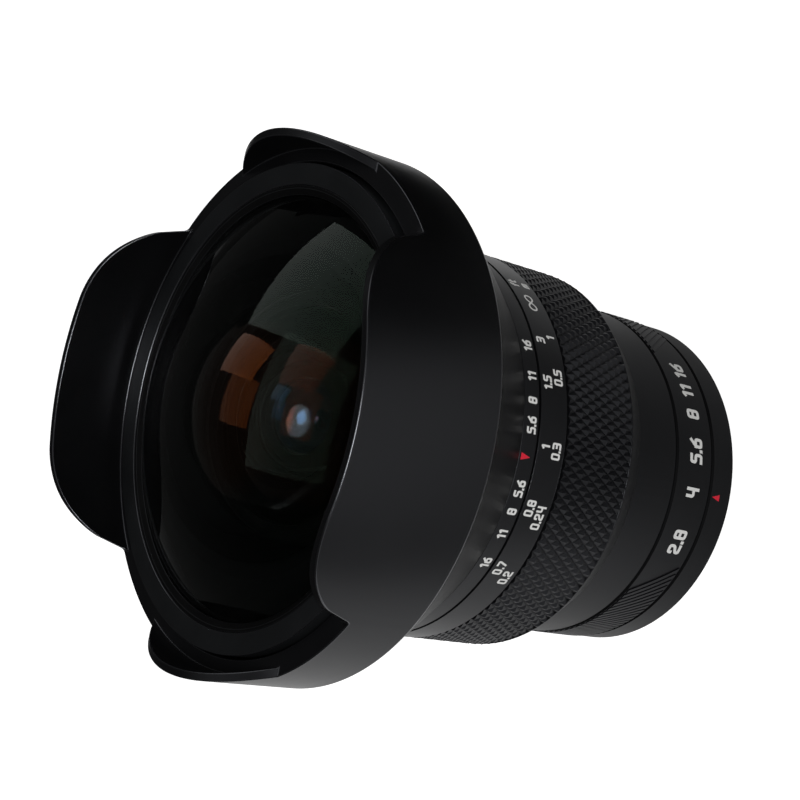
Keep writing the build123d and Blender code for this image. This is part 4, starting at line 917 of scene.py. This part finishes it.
def makeFloor():
    material, tree, place = newMaterial("white paper sweep")
    fibre = addNode(tree, "ShaderNodeTexNoise", {"Vector": place, "Scale": studio["fibreScale"]})
    bump = addNode(tree, "ShaderNodeBump", {"Strength": studio["fibreBump"],
        "Distance": studio["fibreRelief"] * mm, "Height": fibre})
    # painted shadow on the paper round the lens, and painted shade on the glow that the lens mirrors near
    # itself
    paintedShades = {}
    for name, s in paperPaintedShadows.items():
        away = addNode(tree, "ShaderNodeVectorMath", {0: place, 1: Vector(s["middle"]) * mm},
            operation="DISTANCE")
        paintedShades[name] = addNode(tree, "ShaderNodeMapRange", {"Value": away.outputs["Value"],
            "From Min": s["start"] * mm, "From Max": s["end"] * mm, "To Min": s["share"],
            "To Max": 1.0}, interpolation_type="SMOOTHSTEP")
    white = paintedShades["paintedContactShade"]
    # painted shade, and far in front painted light, over the paper away from the lens
    for s in paperPaintedShading.values():
        along = addNode(tree, "ShaderNodeVectorMath", {0: place, 1: s["along"]}, operation="DOT_PRODUCT")
        share = addNode(tree, "ShaderNodeMapRange", {"Value": along.outputs["Value"],
            "From Min": s["start"] * mm, "From Max": s["end"] * mm, "To Min": 1.0,
            "To Max": s["share"]}, interpolation_type="SMOOTHSTEP")
        white = addNode(tree, "ShaderNodeMath", {0: white, 1: share}, operation="MULTIPLY")
    # the paper's colour carries the painted shadow and the painted shade; the camera's white rises where they
    # darken it
    shade = addNode(tree, "ShaderNodeMath", {0: white, 1: studio["floorWhite"]}, operation="MULTIPLY")
    matt = addNode(tree, "ShaderNodeBsdfDiffuse", {"Color": shade, "Normal": bump})
    rays = addNode(tree, "ShaderNodeLightPath").outputs
    # the camera sees pure white, and glass and metal mirror a softer glow
    drop = addNode(tree, "ShaderNodeMath", {0: white, 1: 1.0 - studio["floorSeen"]}, operation="MULTIPLY")
    seen = addNode(tree, "ShaderNodeMath", {0: 1.0, 1: drop}, operation="SUBTRACT")
    forCamera = addNode(tree, "ShaderNodeMath", {0: rays["Is Camera Ray"], 1: seen}, operation="MULTIPLY")
    # painted shade dims the mirrored glow near the lens
    glow = addNode(tree, "ShaderNodeMath", {0: paintedShades["mirrored"], 1: studio["floorGlow"]},
        operation="MULTIPLY")
    paperGlow = addNode(tree, "ShaderNodeMath", {0: white, 1: glow}, operation="MULTIPLY")
    mirrored = addNode(tree, "ShaderNodeMath", {0: rays["Is Glossy Ray"], 1: rays["Is Transmission Ray"]},
        operation="MAXIMUM")
    strength = addNode(tree, "ShaderNodeMath", {0: mirrored, 1: paperGlow, 2: forCamera},
        operation="MULTIPLY_ADD")
    light = addNode(tree, "ShaderNodeEmission", {"Strength": strength})
    both = addNode(tree, "ShaderNodeAddShader", {0: matt, 1: light})
    finishMaterial(material, both)
    half, level = studio["floorSize"] / 2, studio["floorLevel"]
    floor = flatSheet("floor", [(-half, -half, level), (half, -half, level), (half, half, level),
                                (-half, half, level)], material)


def makeDarkCard():
    # a black card beside the lens, seen only in reflections, keeps the upper right of the hood deep black
    s = studio
    card = flatSheet("darkCard", [(s["cardAside"] + s["cardSlant"] * y, y, z) for y, z in (
        (s["cardNear"], s["cardLow"]), (s["cardFar"], s["cardLow"]), (s["cardFar"], s["cardHigh"]),
        (s["cardNear"], s["cardHigh"]))], chamberBlack)
    card.visible_camera = False
    card.visible_shadow = False


makeFloor()
makeDarkCard()

# soft boxes: place and aim in millimetres, size in metres, light in watts
softBoxes = {
    "overCamera": {"place": (-120, -900, 780), "aim": (0, 60, 40), "turn": 0, "shape": "ELLIPSE",
                   "size": (0.56, 0.44), "watts": 11.5},
    "dome": {"place": (360, 170, 520), "aim": (0, 0, 90), "turn": -35, "shape": "RECTANGLE",
             "size": (0.46, 0.36), "watts": 0.43},
    "ceiling": {"place": (20, 150, 900), "aim": (0, 0, 90), "turn": 0, "shape": "RECTANGLE",
                "size": (0.6, 0.5), "watts": 0.42},
}
for name, s in softBoxes.items():
    lamp = bpy.data.lights.new(name, "AREA")
    lamp.shape = s["shape"]
    lamp.size, lamp.size_y = s["size"]
    lamp.energy = s["watts"]
    place = Vector(s["place"]) * mm
    facing = (place - Vector(s["aim"]) * mm).to_track_quat("Z", "Y").to_matrix().to_4x4()
    turned = Matrix.Rotation(math.radians(s["turn"]), 4, "Z")
    linked(name, lamp).matrix_world = Matrix.Translation(place) @ facing @ turned

# white behind the lens, but a dim room in the glass and metal and for the light itself
world = bpy.data.worlds.new("room")
world.use_nodes = True
room = world.node_tree
room.nodes.clear()
roomRays = addNode(room, "ShaderNodeLightPath").outputs
roomMirrored = addNode(room, "ShaderNodeMath", {0: roomRays["Is Glossy Ray"],
    1: roomRays["Is Transmission Ray"]}, operation="MAXIMUM")
roomSeen = addNode(room, "ShaderNodeMath", {0: roomRays["Is Camera Ray"], 1: studio["worldLight"]},
    operation="ADD")
roomStrength = addNode(room, "ShaderNodeMath", {0: roomMirrored,
    1: studio["worldMirrored"] - studio["worldLight"], 2: roomSeen}, operation="MULTIPLY_ADD")
roomLight = addNode(room, "ShaderNodeBackground", {"Color": (1.0, 1.0, 1.0, 1.0),
    "Strength": roomStrength})
addNode(room, "ShaderNodeOutputWorld", {"Surface": roomLight})
bpy.context.scene.world = world
bpy.context.scene.view_settings.view_transform = "Standard"
print("studio ready")

bpy.context.view_layer.update()
